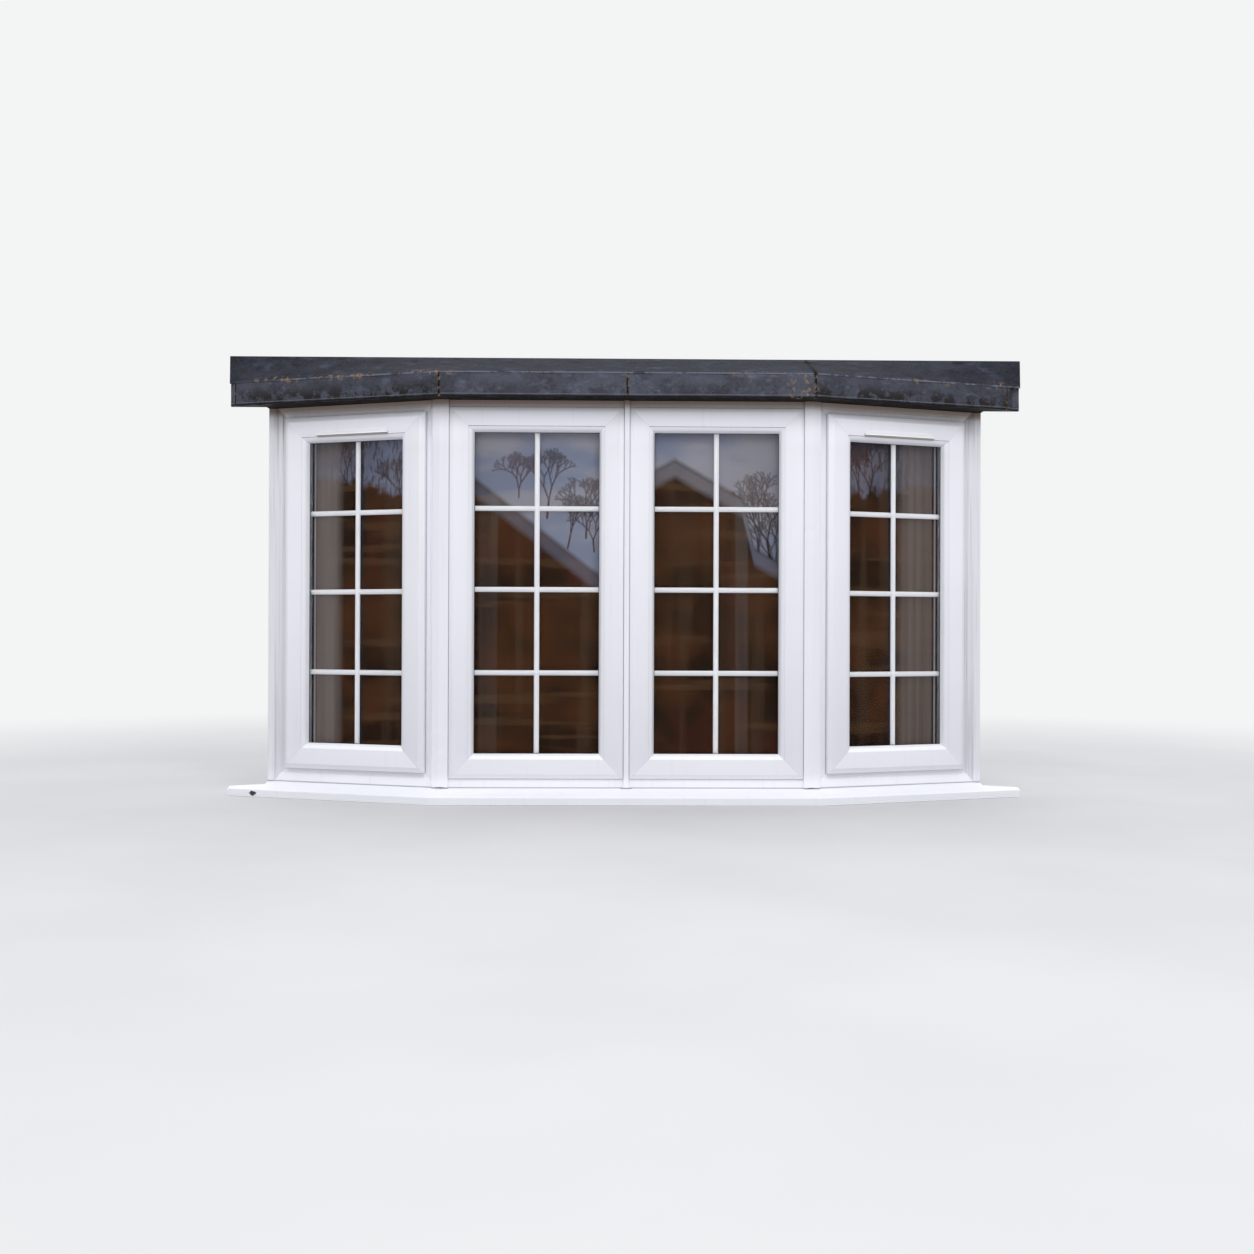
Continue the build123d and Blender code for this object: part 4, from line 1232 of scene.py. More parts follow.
def add_lamp(name, place, target, size, power):
    """Square soft lamp turned to its target."""
    data = bpy.data.lights.new(name, "AREA")
    data.size = size
    data.energy = power
    lamp = bpy.data.objects.new(name, data)
    bpy.context.scene.collection.objects.link(lamp)
    lamp.location = place
    aim = Vector(target) - Vector(place)
    lamp.rotation_euler = aim.to_track_quat("-Z", "Y").to_euler()
    return lamp


def add_camera(scene):
    """Camera of the photograph: its view axis is turned by yaw and pitch, then rolled."""
    data = bpy.data.cameras.new("photo_camera")
    data.sensor_width = 36.0
    data.lens = CAMERA_LENS
    data.clip_end = 200.0
    camera = bpy.data.objects.new("photo_camera", data)
    scene.collection.objects.link(camera)
    ahead = Vector((sin(CAMERA_YAW) * cos(CAMERA_PITCH), cos(CAMERA_YAW) * cos(CAMERA_PITCH),
                    sin(CAMERA_PITCH)))
    level = Vector((cos(CAMERA_YAW), -sin(CAMERA_YAW), 0.0))
    upright = level.cross(ahead)
    right = level * cos(CAMERA_ROLL) + upright * sin(CAMERA_ROLL)
    up = upright * cos(CAMERA_ROLL) - level * sin(CAMERA_ROLL)
    turn = Matrix((right, up, -ahead)).transposed().to_4x4()
    camera.matrix_world = Matrix.Translation(Vector(CAMERA_PLACE) * MM) @ turn
    scene.camera = camera


def sash_profile(light):
    """Sash section from its outer edge, as (outward from the glass edge, depth)."""
    border = light["border"]
    proud = light["proud"]
    seat = light["seat"]
    lip_back = BEAD_SLOPE_DEPTH - proud + LIP
    rebate = border - EDGE_COVER - REBATE_CLEARANCE
    corners = [
        (SHADOW_WIDTH, seat),
        (SHADOW_WIDTH, seat - SHADOW_DEPTH),
        (0, seat - SHADOW_DEPTH, 0.5),
        (0, light["fall"] - proud, 1.3),
        (light["chamfer"], -proud, 2.2),
        (border - BEAD_SLOPE_WIDTH, -proud, 0.5),
        (border - BEAD_SLOPE_WIDTH, BEAD_SINK - proud),
        (border - BEAD_SLOPE_WIDTH + CREASE, BEAD_SINK - proud),
        (border - BEAD_SLOPE_WIDTH + CREASE + 0.1, BEAD_SINK - proud),
        (border - BEAD_NOSE_WIDTH, BEAD_STEP - proud, 1.6),
        (border, BEAD_SLOPE_DEPTH - proud, 0.8),
        (border, lip_back),
        (rebate, lip_back),
        (rebate, SASH_BACK, 1.0),
        (SASH_BODY + STOP_WIDTH, SASH_BACK, 1.2),
        (SASH_BODY + STOP_WIDTH, STOP_FRONT),
        (SASH_BODY, STOP_FRONT),
        (SASH_BODY, seat),
    ]
    return rounded(corners) * np.array([-1.0, 1.0]) + np.array([border, 0.0])


def by_side(sides):
    """Values for the bottom, right, top and left of a ring in turn, on all the rows of each."""
    return np.repeat(sides, SIDE_ROWS, axis=0).reshape(-1)


def sash_masks(profile, light):
    """Masks of a sash, for its bottom, right, top and left.

    Painted shade lies deep in the crease under the top rail, and dirt with painted shade lies
    lightly on the jamb-side chamfer. The slope of the bottom bead carries painted light and the
    flat of the bottom rail is darker. A painted shadow line lies in the crease where the bead
    begins, strongest on the top rail.
    """
    out, depth = profile.T
    depth = depth + light["proud"]
    crease = (np.abs(out - BEAD_SLOPE_WIDTH + CREASE / 2) < CREASE / 2 + 0.05) & (depth > 0.9)
    chamfer = np.clip((out - light["border"] + light["chamfer"]) / light["chamfer"], 0, 1)
    jamb = (0.9 if light["seat"] else 0.25) * chamfer * (depth < light["proud"])
    slope = (out < BEAD_SLOPE_WIDTH - CREASE - 0.05) & (depth < BEAD_SLOPE_DEPTH + light["proud"])
    soil = np.outer(CREASE_SHADE, crease)
    soil[-1] = np.maximum(soil[-1], jamb)
    return {
        "soil": by_side(soil),
        "painted_light": by_side(np.outer(SLOPE_LIT, slope)),
        "dim": by_side(np.outer(FLAT_DIM, depth < 0.3)),
        "seam_and_shadow": by_side(np.outer(CREASE_SHADOW_LINE, crease)),
    }


def glass_rect(light, inset=0.0):
    """Rectangle of the visible glass, or one that much further in."""
    left, bottom, right, top = light["sash"]
    edge = light["border"] + inset
    return (left + edge, bottom + edge, right - edge, top - edge)


def frame_masks(profile, light):
    """Masks of an outer frame, for its bottom, right, top and left.

    A painted shadow line marks where the edge of the sash meets it. Dirt and painted shade are full
    on the jamb side of a side light and slight elsewhere, and its post side carries painted light.
    """
    out, depth = profile.T
    stepped = light["seat"] > 0
    edge = np.abs(out - 1.0) < 0.9
    front = (depth < FRAME_DEPTH / 2) & (out > 0)
    lines = SIDE_MEETING if stepped else CENTRE_MEETING
    soil = (0.1, 0.1, 0.1, 1.0 if stepped else 0.1)
    painted_light = (0.0, 1.0 if stepped else 0.0, 0.0, 0.0)
    return {
        "soil": by_side(np.outer(soil, front)),
        "seam_and_shadow": by_side(np.outer(lines, edge)),
        "painted_light": by_side(np.outer(painted_light, front)),
    }


def with_masks(ring, masks):
    """A ring with its masks, taking the darker of its weld seam and the masks' seam and shadow
    lines.
    """
    return {**ring, **masks, "seam_and_shadow": np.maximum(ring["seam_and_shadow"], masks["seam_and_shadow"])}


class BAY_OT_frames(bpy.types.Operator):
    """Weld the four outer frames, stepped at the sides and plain in the middle."""

    bl_idname = "bay.frames"
    bl_label = "Outer frames"

    def execute(self, context):
        sizes = context.scene.bay_sizes
        for name, (light, carry, flip) in LIGHTS.items():
            inner = SASH_OVERLAP + STOP_WIDTH
            outer = max(light["faces"])
            step = [(STRIP_WIDTH - STRIP_DEPTH, STRIP_DEPTH, 1.0), (STRIP_WIDTH, 0, 1.0)]
            meeting = [(out, light["seat"]) for out in (-SASH_OVERLAP, 0.05, 0.2, 1.8, 2.0)]
            profile = rounded([
                *meeting,
                *(step if light["seat"] else []),
                (outer, 0, 1.0),
                (outer, FRAME_DEPTH, 1.0),
                (-inner, FRAME_DEPTH, 1.5),
                (-inner, STOP_FRONT),
                (-SASH_OVERLAP, STOP_FRONT),
            ])
            ring = mitred_ring(light["sash"], profile, sizes, light["faces"])
            ring = with_masks(ring, frame_masks(profile, light))
            add_piece("outer_frame_" + name, placed(ring, carry, flip),
                      finish_of("white_profile"), ["frame_" + name])
        return {"FINISHED"}


class BAY_OT_sashes(bpy.types.Operator):
    """Weld the two opening casements and the two fixed sashes."""

    bl_idname = "bay.sashes"
    bl_label = "Sashes"

    def execute(self, context):
        sizes = context.scene.bay_sizes
        for name, (light, carry, flip) in LIGHTS.items():
            profile = sash_profile(light)
            ring = mitred_ring(glass_rect(light), profile, sizes)
            ring = with_masks(ring, sash_masks(profile, light))
            add_piece("welded_sash_" + name, placed(ring, carry, flip),
                      finish_of("white_profile"), ["sash_" + name])
        return {"FINISHED"}


def unit_front(light):
    """Depth of the outer face of the sealed unit behind the frame face."""
    return BEAD_SLOPE_DEPTH - light["proud"] + LIP + GASKET


def pane(light, front):
    """One pane with ground edges: an outline of its rim carried from face to face."""
    left, bottom, right, top = glass_rect(light, -EDGE_COVER)
    rim = rounded([(left, bottom, 1.0), (right, bottom, 1.0), (right, top, 1.0),
                   (left, top, 1.0)], 2)
    middle = rim.mean(axis=0)
    inset = middle + (rim - middle) * (1 - 2 * GROUND_EDGE / np.ptp(rim, axis=0))
    depths = [front, front + GROUND_EDGE, front + PANE - GROUND_EDGE, front + PANE]
    rows = [np.insert(line, 1, depth, axis=1)
            for line, depth in zip([inset, rim, rim, inset], depths)]
    return tube(np.stack(rows))


def forking(x, z, root, seed):
    """Mask of a forking line: each length splits in two shorter ones, turned to both sides.

    Near one length the mask is its reach minus the distance over the half width, cut to 0 and 1.
    """
    random = np.random.default_rng(seed)
    starts = np.array([root[:2]], float)
    headings = np.array([root[2]], float)
    mask = np.zeros(x.shape)
    for level in range(FORK_LEVELS):
        count = len(starts)
        reach = root[3] * FORK_SHRINK ** level * random.uniform(*FORK_LENGTHS, count)
        ways = np.stack([np.sin(headings), np.cos(headings)], axis=-1)
        half = max(FORK_WIDTH * root[3] * FORK_THINNING ** level, FORK_LEAST)
        for start, way, length in zip(starts, ways, reach):
            along = np.clip((x - start[0]) * way[0] + (z - start[1]) * way[1], 0, length)
            away = np.hypot(x - start[0] - along * way[0], z - start[1] - along * way[1])
            near = np.clip(FORK_CORE - away / half, 0, 1)
            mask = np.maximum(mask, near * FORK_FADE ** level)
        turns = random.uniform(*FORK_TURNS, (count, 2)) * np.array([-1.0, 1.0])
        starts = np.repeat(starts + ways * reach[:, None], 2, axis=0)
        headings = (headings[:, None] * FORK_STRAIGHTENING + turns).reshape(-1)
    return mask


def soft_line(value, place, half):
    """One within half of a half width from a place, falling to none at one and a half."""
    return np.clip(1.5 - np.abs(value - place) / half, 0, 1)


def glass_masks(name, x, z, middle, seed):
    """Masks of an inner pane: mirrored field with forking lines, veil, and lines along the rim.

    The field rises over a short height above its edge line, raggedly where no pale band follows the
    line. On the side lights, seen slantwise, a dark and a pale line follow the rim towards the
    jamb, and a dark painted reflection lies beside the bar.
    """
    plan = MIRRORED[name]
    slant = 1.0 if plan["band"] == 0 else 0.0
    edge_x, edge_z = np.array(plan["edge"]).T
    level = np.interp(x, edge_x[[0, -1]], plan["levels"])
    above = (z - np.interp(x, edge_x, edge_z)) / FIELD_RISE
    ragged = 0.6 * waves(x, z, seed, 70.0)
    field = np.clip(above + ragged * slant, 0, 1) * level
    lines = [forking(x, z, root, seed + number) for number, root in enumerate(plan["forks"])]
    field = field * (1 - np.max(lines, axis=0))
    band = soft_line(above, -0.55, 1.0) * plan["band"] * (above < 0.4)
    start, end, strength = plan["veil"]
    end_fade = VEIL_FADE + SLANT_FADE * slant
    veil = np.clip(np.minimum((x - start) / VEIL_FADE, (end - x) / end_fade), 0, 1)
    # Painted reflection of the upright bar, dark beside it, kept in the shade mask with the dark
    # rim line
    beside_bar = 0.75 * soft_line(x - middle, *BAR_REFLECTION)
    return {
        "mirror": np.maximum(field, band),
        "veil": veil * strength,
        "pale": soft_line(x, *EDGE_PALE) * slant,
        "shade": np.maximum(beside_bar, soft_line(x, *EDGE_DARK)) * slant,
        "flecked": np.full(x.shape, slant),
        "outside": np.ones(x.shape),
    }


def inner_pane(light, name, front, seed):
    """Inner pane: its outer face is a fine grid that carries the masks, its back one quad."""
    left, bottom, right, top = glass_rect(light, -EDGE_COVER)
    x = np.linspace(left, right, int((right - left) / GLASS_STEP) + 2)
    z = np.linspace(bottom, top, int((top - bottom) / GLASS_STEP) + 2)
    rows, columns = len(z), len(x)
    grid_x, grid_z = np.meshgrid(x, z)
    face = np.stack([grid_x, np.full(grid_x.shape, front), grid_z], axis=-1).reshape(-1, 3)
    back = np.array([[x[0], front + PANE, z[0]], [x[-1], front + PANE, z[0]],
                     [x[-1], front + PANE, z[-1]], [x[0], front + PANE, z[-1]]])
    index = np.arange(rows * columns).reshape(rows, columns)
    quads = np.stack([index[:-1, :-1], index[:-1, 1:], index[1:, 1:], index[1:, :-1]], axis=-1)
    a, b, c, d = range(rows * columns, rows * columns + 4)
    faces = quads.reshape(-1, 4).tolist() + [[d, c, b, a]]
    faces.append([a, b, *index[0, ::-1].tolist()])
    faces.append([b, c, *index[::-1, -1].tolist()])
    faces.append([c, d, *index[-1].tolist()])
    faces.append([d, a, *index[:, 0].tolist()])
    glass_left, glass_bottom = glass_rect(light)[:2]
    middle = (left + right) / 2 - glass_left
    masks = glass_masks(name, face[:, 0] - glass_left, face[:, 2] - glass_bottom, middle, seed)
    masks = {key: np.append(mask, np.zeros(4)) for key, mask in masks.items()}
    return {"points": np.concatenate([face, back]), "faces": faces, **masks}


def glazing_bars(light, sizes):
    """Upright bar and three crossbars between the panes, their faces gently rounded.

    The section is a superellipse whose exponent, a little over 2, leaves it nearly half round on
    each face. The upright bar is painted with shade towards its sides, and the crossbars with shade
    all over.
    """
    left, bottom, right, top = glass_rect(light, -EDGE_COVER + SPACER_WIDTH)
    depth = unit_front(light) + PANE + CAVITY / 2
    turn = np.linspace(0, 2 * pi, 28, endpoint=False)
    power = 2 / BAR_ROUNDNESS
    across = sizes.bar_width / 2 * np.sign(np.cos(turn)) * np.abs(np.cos(turn)) ** power
    through = sizes.bar_thickness / 2 * np.sign(np.sin(turn)) * np.abs(np.sin(turn)) ** power
    section = np.stack([across, through], axis=-1)
    middle = (left + right) / 2
    bars = [extruded(section, (middle, depth, bottom), (middle, depth, top), (0, 1))]
    beside = np.abs(bars[0]["points"][:, 0] - middle) / sizes.bar_width
    bars[0]["dim"] = UPRIGHT_DIM * beside
    low, high = glass_rect(light)[1::2]
    for share in light["crossbars"]:
        z = low + share * (high - low)
        bar = extruded(section * CROSSBAR_SHARE, (left, depth, z), (right, depth, z), (2, 1))
        bar["dim"] = np.ones(len(bar["points"]))
        bars.append(bar)
    return joined(bars)


def unit_sections(front):
    """Sections of gasket, spacer and inside bead, as (outward from the glass edge, depth)."""
    cavity = front + PANE
    inner = cavity + CAVITY
    back = inner + PANE
    reach = EDGE_COVER + REBATE_CLEARANCE
    gasket = [
        (EDGE_COVER, front),
        (-GASKET_LIP, front, 0.4),
        (-GASKET_LIP, front - GASKET, 0.9),
        (EDGE_COVER, front - GASKET),
    ]
    spacer = [
        (EDGE_COVER, cavity),
        (EDGE_COVER - SPACER_WIDTH, cavity, 0.8),
        (EDGE_COVER - SPACER_WIDTH, inner, 0.8),
        (EDGE_COVER, inner),
    ]
    bead = [
        (reach, back),
        (0, back, 0.6),
        (0, back + BEAD_NOSE, 1.2),
        (reach - BEAD_TOP, SASH_BACK, 1.5),
        (reach, SASH_BACK),
    ]
    return rounded(gasket, 3), rounded(spacer, 2), rounded(bead, 4)


class BAY_OT_glazing(bpy.types.Operator):
    """Fit the sealed units with their bars, gaskets, spacers and inside beads."""

    bl_idname = "bay.glazing"
    bl_label = "Glazing"

    def execute(self, context):
        sizes = context.scene.bay_sizes
        gaskets = []
        spacers = []
        beads = []
        rings = (gaskets, spacers, beads)
        for seed, (name, (light, carry, flip)) in enumerate(LIGHTS.items(), 40):
            front = unit_front(light)
            outer = placed(pane(light, front), carry, flip)
            inner = inner_pane(light, name, front + PANE + CAVITY, seed)
            inner = placed(inner, carry, flip)
            add_piece("outer_pane_" + name, outer, finish_of("outer_glass"),
                      ["glass_" + name])
            kind = "inner_glass_side" if light["seat"] else "inner_glass_centre"
            add_piece("inner_pane_" + name, inner, finish_of(kind),
                      ["glass_" + name])
            add_piece("glazing_bars_" + name, placed(glazing_bars(light, sizes), carry, flip),
                      finish_of("white_bar"))
            for shells, section in zip(rings, unit_sections(front)):
                ring = mitred_ring(glass_rect(light), section, sizes)
                shells.append(placed(ring, carry, flip))
        add_piece("gasket_lines", joined(gaskets), finish_of("gasket_rubber"),
                  ["glazing_gaskets"])
        add_piece("spacer_frames", joined(spacers), finish_of("spacer_aluminium"),
                  ["unit_spacers"])
        add_piece("room_beads", joined(beads), finish_of("white_profile"),
                  ["inside_beads"])
        return {"FINISHED"}


def upright(plan, heights):
    """Upright shell: a plan outline repeated at each height, or at each row of heights."""
    rows = [np.column_stack([plan, np.broadcast_to(z, len(plan))]) for z in heights]
    return tube(np.stack(rows))


def post_cover():
    """Angled cover strip; its foot follows the fall of the sill and is cut by a low arch.

    The foot stands at the sill's fall times how far a point is in front of the faces. The arch
    is the height of an ellipse over the middle of the strip's width.
    """
    side_start = SIDE_LENGTH - POST_TO_SIDE - COVER_SIDE_LAP
    centre_end = POST_TO_CENTRE - CORNER_X + CENTRE_LIGHT["faces"][0] - COVER_GAP
    corners = [
        side_point(side_start, 0),
        (*side_point(side_start, -COVER_PROUD), 2.5),
        (*corner_point(-COVER_PROUD), 3.0),
        (centre_end, -BAY_PROJECTION - COVER_PROUD, 2.5),
        (centre_end, -BAY_PROJECTION),
        corner_point(0),
    ]
    plan = divided(rounded(corners, 5), COVER_STEP)
    middle = (side_point(side_start, 0)[0] + centre_end) / 2
    share = np.clip(1 - ((plan[:, 0] - middle) / (COVER_FOOT_WIDTH / 2)) ** 2, 0, 1)
    side_line = -(plan[:, 0] + JAMB_X) * tan(SIDE_ANGLE)
    face = np.maximum(side_line, -BAY_PROJECTION)
    fall = np.clip(face - plan[:, 1], 0, None) * SILL_SLOPE
    foot = SILL_TOP - fall + ARCH_HEIGHT * np.sqrt(share)
    heights = [foot, foot + FOOT_LINE_HEIGHT, SILL_TOP + 30.0, SOFFIT_Z]
    shell = upright(plan, heights)
    # The foot row carries a dark line: the joint at the sill and painted shadow in the arch
    shell["seam_and_shadow"] = np.concatenate([np.full(len(plan), 1.0), np.zeros(3 * len(plan))])
    return shell


def coupler_cover():
    """Cover strip of the coupler: its half width grows towards the foot.

    Over the foot's height the extra half width is the foot's flare times (1 - z / height) cubed.
    """
    half = COUPLER_COVER_WIDTH / 2
    front = -BAY_PROJECTION - COUPLER_COVER_PROUD
    corners = [
        (-half, -BAY_PROJECTION),
        (half, -BAY_PROJECTION),
        (half, front, 2.2),
        (-half, front, 2.2),
    ]
    plan = divided(rounded(corners, 5), COVER_STEP)
    rise = np.linspace(0, COVER_FOOT_HEIGHT, 9)
    flare = (COVER_FOOT_WIDTH / 2 - half) * (1 - rise / COVER_FOOT_HEIGHT) ** 3
    heights = np.append(rise, SOFFIT_Z - SILL_TOP)
    widths = np.append(1 + flare / half, 1.0)
    drop = (-BAY_PROJECTION - plan[:, 1]) * SILL_SLOPE
    sink = np.clip(1 - heights / COVER_FOOT_HEIGHT, 0, 1)
    rows = np.zeros((len(heights), len(plan), 3))
    rows[..., 0] = plan[:, 0] * widths[:, None]
    rows[..., 1] = plan[:, 1]
    rows[..., 2] = SILL_TOP + heights[:, None] - drop * sink[:, None]
    return tube(rows)


class BAY_OT_covers(bpy.types.Operator):
    """Stand the cover strips over the bay posts and the coupler."""

    bl_idname = "bay.covers"
    bl_label = "Cover strips"

    def execute(self, context):
        white = finish_of("white_cover")
        for side, flip in (("left", False), ("right", True)):
            add_piece("corner_cover_" + side, placed(post_cover(), None, flip), white,
                      ["post_cover_" + side])
        add_piece("centre_cover", coupler_cover(), white, ["coupler_cover"])
        return {"FINISHED"}


def fascia_face(x):
    """Plan Y of the fascia line at each X: level along the front, straight back at the sides."""
    corner_y = -BAY_PROJECTION - FASCIA_REACH
    end_y = -WALL_SETBACK - CANOPY_END_REACH
    share = (np.abs(x) - FASCIA_CORNER_X) / (CANOPY_END_X - FASCIA_CORNER_X)
    return corner_y + np.clip(share, 0, None) * (end_y - corner_y)


def fascia_board(start, end, sizes, seed):
    """Lead-dressed board between two X: its section sheared along the fascia line.

    The front swells and sinks by the dents times a sum of waves, and its foot rises and falls by
    another one. Both die away at the ends, where the seam and shadow mask marks the joint.
    """
    corners = [
        (0, SOFFIT_Z, 2.2),
        (0, FASCIA_TOP - FASCIA_DROP, 1.5),
        (FASCIA_THICKNESS, FASCIA_TOP - FASCIA_DROP),
        (FASCIA_THICKNESS, SOFFIT_Z, 1.0),
    ]
    outline = divided(rounded(corners, 4), FASCIA_OUTLINE_STEP)
    x = np.linspace(start, end, int(abs(end - start) / FASCIA_STEP) + 2)
    for step in FASCIA_END_STEPS:
        x = np.append(x, [start + step, end - step])
    x = np.sort(x)[:, None]
    inset, z = outline.T
    front = np.clip(1 - inset / FASCIA_FRONT, 0, 1)
    from_end = np.minimum(x - start, end - x)
    reach = np.clip(from_end / DENT_FADE, 0, 1)
    small_dents = waves(x, z[None], seed + 50, SMALL_DENT_WAVE)
    dents = waves(x, z[None] * DENT_SQUEEZE, seed, DENT_WAVE) + SMALL_DENTS * small_dents
    foot = np.clip((SOFFIT_Z + FASCIA_FOOT - z) / FASCIA_FOOT, 0, 1)
    low = foot * waves(x, 0 * z[None], seed + 90, FOOT_WAVE) * UNEVEN_FOOT
    y = fascia_face(x) + inset + front * reach * sizes.fascia_dents * (dents + DENT_SETBACK)
    grid = np.stack([np.broadcast_to(x, y.shape), y, z + low * reach], axis=-1)
    shell = tube(grid)
    end_mask = np.clip(2.5 - from_end / FASCIA_END_LINE, 0, 1)
    shell["seam_and_shadow"] = np.broadcast_to(end_mask, y.shape).reshape(-1)
    return shell


def canopy_return(width, flat, sizes, seed, shaded):
    """Left end piece of the canopy: an upright outline, gently dented.

    The slanting face carries a painted shade, and the top, under the edge of the lead, a painted
    shadow in the seam and shadow mask.
    """
    end_x = -CANOPY_END_X + width
    corners = [
        (end_x, float(fascia_face(np.array(end_x))), 1.0),
        (-CANOPY_END_X + flat, -WALL_SETBACK - RETURN_EDGE, 1.5),
        (-CANOPY_END_X, -WALL_SETBACK - RETURN_EDGE, 1.5),
        (-CANOPY_END_X, -WALL_SETBACK),
        (end_x, -WALL_SETBACK),
    ]
    plan = divided(rounded(corners, 3), RETURN_OUTLINE_STEP)
    z = np.linspace(SOFFIT_Z, FASCIA_TOP, RETURN_ROWS)
    rows = np.stack([np.column_stack([plan, np.full(len(plan), level)]) for level in z])
    inside = np.sin(np.linspace(0, pi, RETURN_ROWS))[:, None]
    front = rows[..., 1] < -WALL_SETBACK - 2
    dents = sizes.fascia_dents * waves(rows[..., 0], rows[..., 2], seed, RETURN_WAVE)
    rows[..., 1] += front * inside * dents
    shell = tube(rows)
    x, _, height = shell["points"].T
    slanting = np.clip((x + CANOPY_END_X - flat) / RETURN_SOFTNESS - 0.5, 0, 1)
    topmost = np.clip((height - FASCIA_TOP + RETURN_TOP_LINE) / RETURN_SOFTNESS, 0, 1)
    shell["shade"] = shaded * slanting
    shell["seam_and_shadow"] = 0.8 * topmost
    return shell


def lead_sheet(start, end, sizes, seed):
    """Lead from the wall down the slope and over the top of the fascia, between two X.

    Along the slope a point goes from the wall line to the fascia edge in even shares, and rises
    and falls by the wave height times a sum of waves; the edge is dressed down over the fascia.
    """
    x = np.linspace(start, end, int(abs(end - start) / LEAD_STEP) + 2)[:, None]
    share = np.linspace(0, 1, LEAD_ROWS)[None]
    edge = fascia_face(x) - LEAD_OVERHANG
    y_top = -WALL_SETBACK + share * (edge + WALL_SETBACK)
    z_top = WALL_LINE_Z + share * (FASCIA_TOP - WALL_LINE_Z)
    lift = waves(x, y_top, seed, LEAD_WAVE) * np.sin(share * pi) * sizes.lead_wave
    hem = waves(x, 0 * x, seed + 7, HEM_WAVE) * HEM_RISE
    down = np.array([HEM_SHARES])
    drip_z = FASCIA_TOP - LEAD_SHOULDER - down * (LEAD_DRIP - LEAD_SHOULDER + hem)
    drip_y = np.broadcast_to(edge - HEM_BULGE, drip_z.shape)
    back_y = np.broadcast_to(edge + LEAD, drip_z.shape)
    under_y = y_top[:, ::-1] + LEAD * 0.7 * share
    under_z = np.broadcast_to((z_top - LEAD)[:, ::-1], under_y.shape)
    y = np.concatenate([y_top, drip_y, back_y[:, ::-1], np.maximum(under_y, edge + LEAD)], axis=1)
    z = np.concatenate([z_top + lift, drip_z, drip_z[:, ::-1], under_z], axis=1)
    outer = np.clip((np.abs(x) - CANOPY_END_X) / LEAD_END_LAP, 0, 1)
    forward = np.clip((y + WALL_SETBACK) / (edge + WALL_SETBACK), 0, 1)
    cut = np.sign(x) * outer * forward * LEAD_END_CUT
    grid = np.stack([x - cut, y, z], axis=-1)
    shell = tube(grid)
    from_end = np.minimum(x - start, end - x)
    end_mask = np.clip(1 - from_end / LEAD_JOINT_LINE, 0, 1) * (outer == 0)
    shell["seam_and_shadow"] = np.broadcast_to(end_mask, y.shape).reshape(-1)
    shell["soil"] = np.ones(y.size)
    return shell


class BAY_OT_canopy(bpy.types.Operator):
    """Dress the canopy: fascias, end pieces, lead and the boards behind them."""

    bl_idname = "bay.canopy"
    bl_label = "Canopy"

    def execute(self, context):
        sizes = context.scene.bay_sizes
        fascia = finish_of("fascia_side")
        gap = FASCIA_JOINT / 2
        corner = FASCIA_CORNER_X
        end = CANOPY_END_X
        boards = {
            "fascia_left": (-end + LEFT_RETURN, -corner - gap, 3),
            "fascia_centre_left": (-corner + gap, -gap, 5),
            "fascia_centre_right": (gap, corner - gap, 8),
            "fascia_right": (corner + gap, end - RIGHT_RETURN, 13),
        }
        for node, (start, stop, seed) in boards.items():
            material = finish_of("fascia_front") if "centre" in node else fascia
            add_piece("dressed_" + node, fascia_board(start, stop, sizes, seed), material,
                      [node], sharp=50.0)
        left_return = canopy_return(LEFT_RETURN, LEFT_RETURN_FLAT, sizes, 21, 0.0)
        right_return = canopy_return(RIGHT_RETURN, RIGHT_RETURN_FLAT, sizes, 22, 0.7)
        pale = finish_of("return_pale")
        add_piece("end_return_left", left_return, pale, ["canopy_return_left"])
        add_piece("end_return_right", placed(right_return, None, True), pale,
                  ["canopy_return_right"])
        lap = end + LEAD_END_LAP
        sheets = {"left": (-lap, corner - FASCIA_JOINT, 31), "right": (corner, lap, 37)}
        for side, (start, stop, seed) in sheets.items():
            add_piece("lead_" + side, lead_sheet(start, stop, sizes, seed),
                      finish_of("lead_sheet"), ["canopy_lead_" + side], sharp=50.0)
        finish_nodes("soffit_paint", "soffit_board")
        finish_nodes("deck_ply", "canopy_deck")
        finish_nodes("head_timber", "head_board")
        return {"FINISHED"}


class BAY_OT_sill(bpy.types.Operator):
    """Finish the sill with its end caps, the board below, the posts, coupler and jamb pieces."""

    bl_idname = "bay.sill"
    bl_label = "Sill"

    def execute(self, context):
        finish_nodes("white_sill", "sill_left", "sill_centre", "sill_right",
                     "sill_end_cap_left", "sill_end_cap_right")
        finish_nodes("base_board_white", "base_board")
        finish_nodes("white_profile", "bay_post_left", "bay_post_right", "coupler")
        # The jamb pieces carry dirt and painted shade
        finish_nodes("soiled_jamb", "jamb_piece_left", "jamb_piece_right")
        return {"FINISHED"}


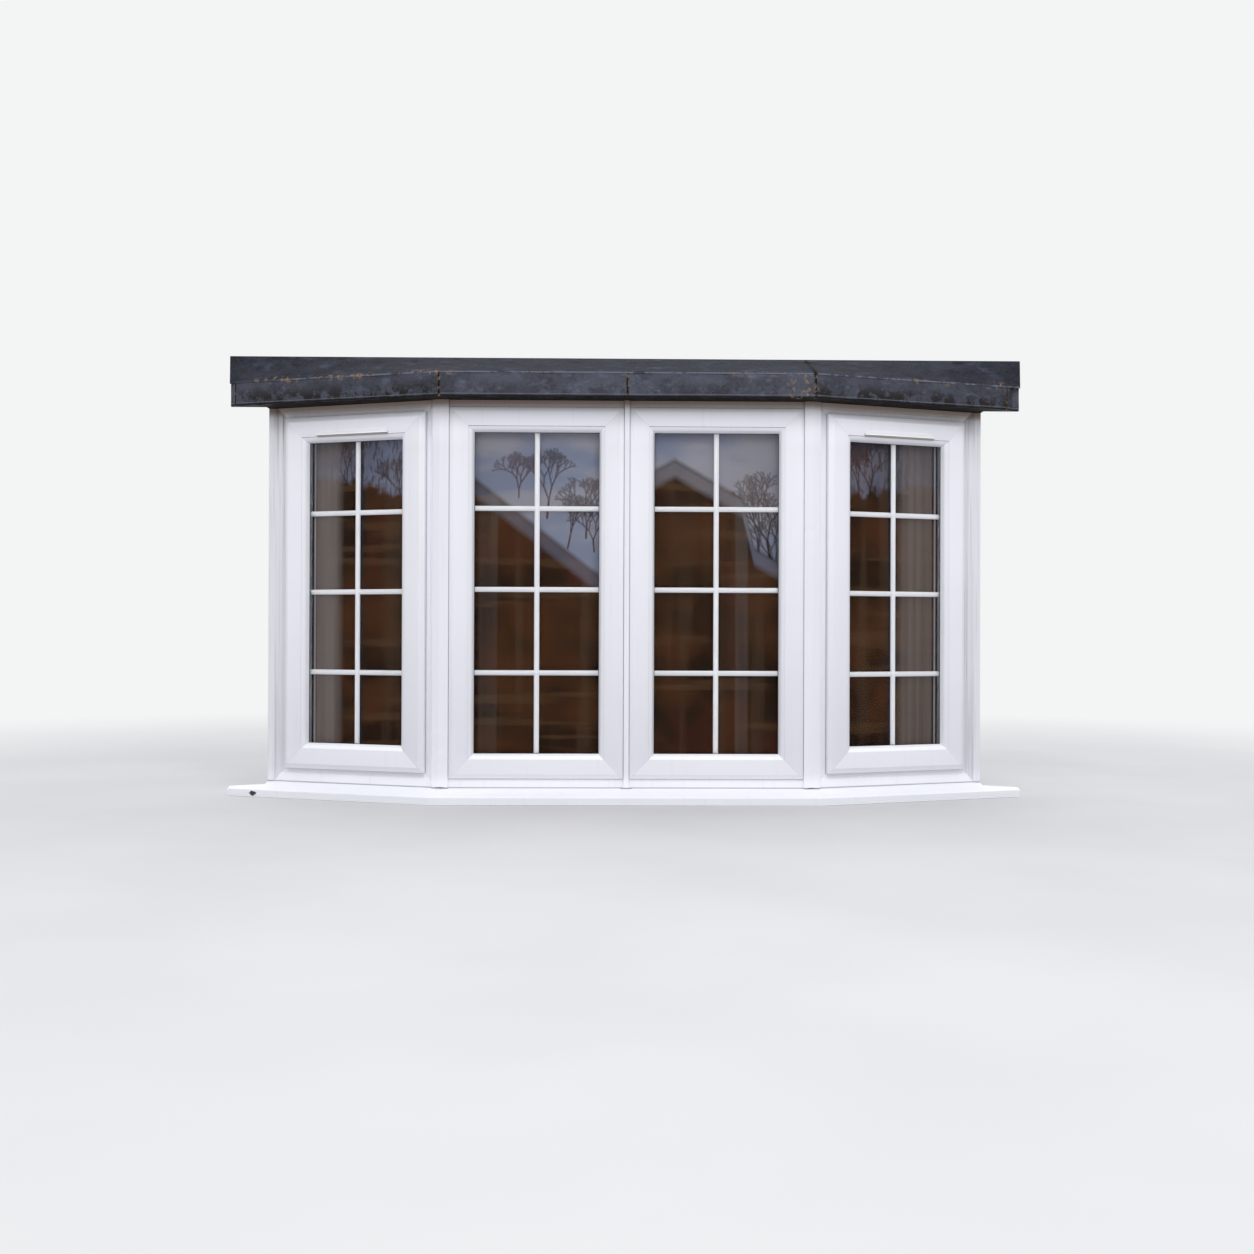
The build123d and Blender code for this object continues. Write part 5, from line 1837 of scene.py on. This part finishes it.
def vent_hood():
    """Hood over a vent: a hollow slope on a thin lip, its ends leaning in towards the top.

    At a share of the way from lip to top the slope stands proud by the hood's depth times (1 -
    share) to the power of its curve, and at height z each end has moved in by the lean times z over
    the hood's height. The lip carries a painted highlight, and a painted shadow line lies under it.
    """
    share = np.linspace(0, 1, HOOD_ROWS)
    proud = HOOD_PROUD * (1 - share) ** HOOD_CURVE
    slope = np.stack([proud, HOOD_LIP + (HOOD_HEIGHT - HOOD_LIP) * share], axis=-1)
    lip = [(0.0, 0.0), (HOOD_PROUD - HOOD_EDGE, 0.0), (HOOD_PROUD, HOOD_EDGE)]
    section = np.concatenate([lip, slope])
    z = section[:, 1]
    lean = HOOD_LEAN * z / HOOD_HEIGHT
    left, _, right, top = glass_rect(SIDE_LIGHT)
    middle = (left + right) / 2
    along = np.array([0.0, 0.01, 0.99, 1.0])[:, None]
    start = middle - HOOD_LENGTH / 2 + lean
    x = start + along * (HOOD_LENGTH - 2 * lean)
    y = np.broadcast_to(-SIDE_LIGHT["proud"] - section[:, 0], x.shape)
    grid = np.stack([x, y, np.broadcast_to(top + HOOD_ABOVE_GLASS + z, x.shape)], axis=-1)
    shell = tube(grid)
    under = np.clip(1 - z / HOOD_EDGE, 0, 1)
    lit_low = np.clip(1.9 - z / HOOD_LIT_FALL, HOOD_LEAST_LIT, 1)
    shell["seam_and_shadow"] = np.tile(under * HOOD_SHADOW_LINE, len(along))
    shell["painted_light"] = np.tile(lit_low, len(along))
    return shell


class BAY_OT_hardware(bpy.types.Operator):
    """Fit the vent hoods and finish the casement handles."""

    bl_idname = "bay.hardware"
    bl_label = "Hoods and handles"

    def execute(self, context):
        for side, flip in (("left", False), ("right", True)):
            add_piece("moulded_hood_" + side, placed(vent_hood(), on_side, flip),
                      finish_of("white_hood"), ["vent_hood_" + side])
            finish_nodes("white_cover", "handle_" + side)
        return {"FINISHED"}


OPERATORS = (BAY_OT_stage, BAY_OT_frames, BAY_OT_sashes, BAY_OT_glazing, BAY_OT_covers,
             BAY_OT_canopy, BAY_OT_sill, BAY_OT_hardware)


class BAY_PT_panel(bpy.types.Panel):
    """Sidebar panel with the sizes, the colours and a button for each group of pieces."""

    bl_idname = "BAY_PT_panel"
    bl_label = "Bay Window"
    bl_space_type = "VIEW_3D"
    bl_region_type = "UI"
    bl_category = "Bay Window"

    def draw(self, context):
        for settings in (context.scene.bay_sizes, context.scene.bay_colours):
            for name in settings.__annotations__:
                self.layout.prop(settings, name)
        for operator in OPERATORS:
            self.layout.operator(operator.bl_idname)


CLASSES = (BaySizes, BayColours, *OPERATORS, BAY_PT_panel)


def register():
    """Register the classes and hang the settings on the scene."""
    for item in CLASSES:
        bpy.utils.register_class(item)
    bpy.types.Scene.bay_sizes = PointerProperty(type=BaySizes)
    bpy.types.Scene.bay_colours = PointerProperty(type=BayColours)


def unregister():
    """Take the settings and the classes away again."""
    del bpy.types.Scene.bay_colours
    del bpy.types.Scene.bay_sizes
    for item in reversed(CLASSES):
        bpy.utils.unregister_class(item)


def main():
    """Register the add-on and build every group of pieces in order."""
    register()
    for operator in OPERATORS:
        family, action = operator.bl_idname.split(".")
        getattr(getattr(bpy.ops, family), action)()


if __name__ == "__main__":
    main()
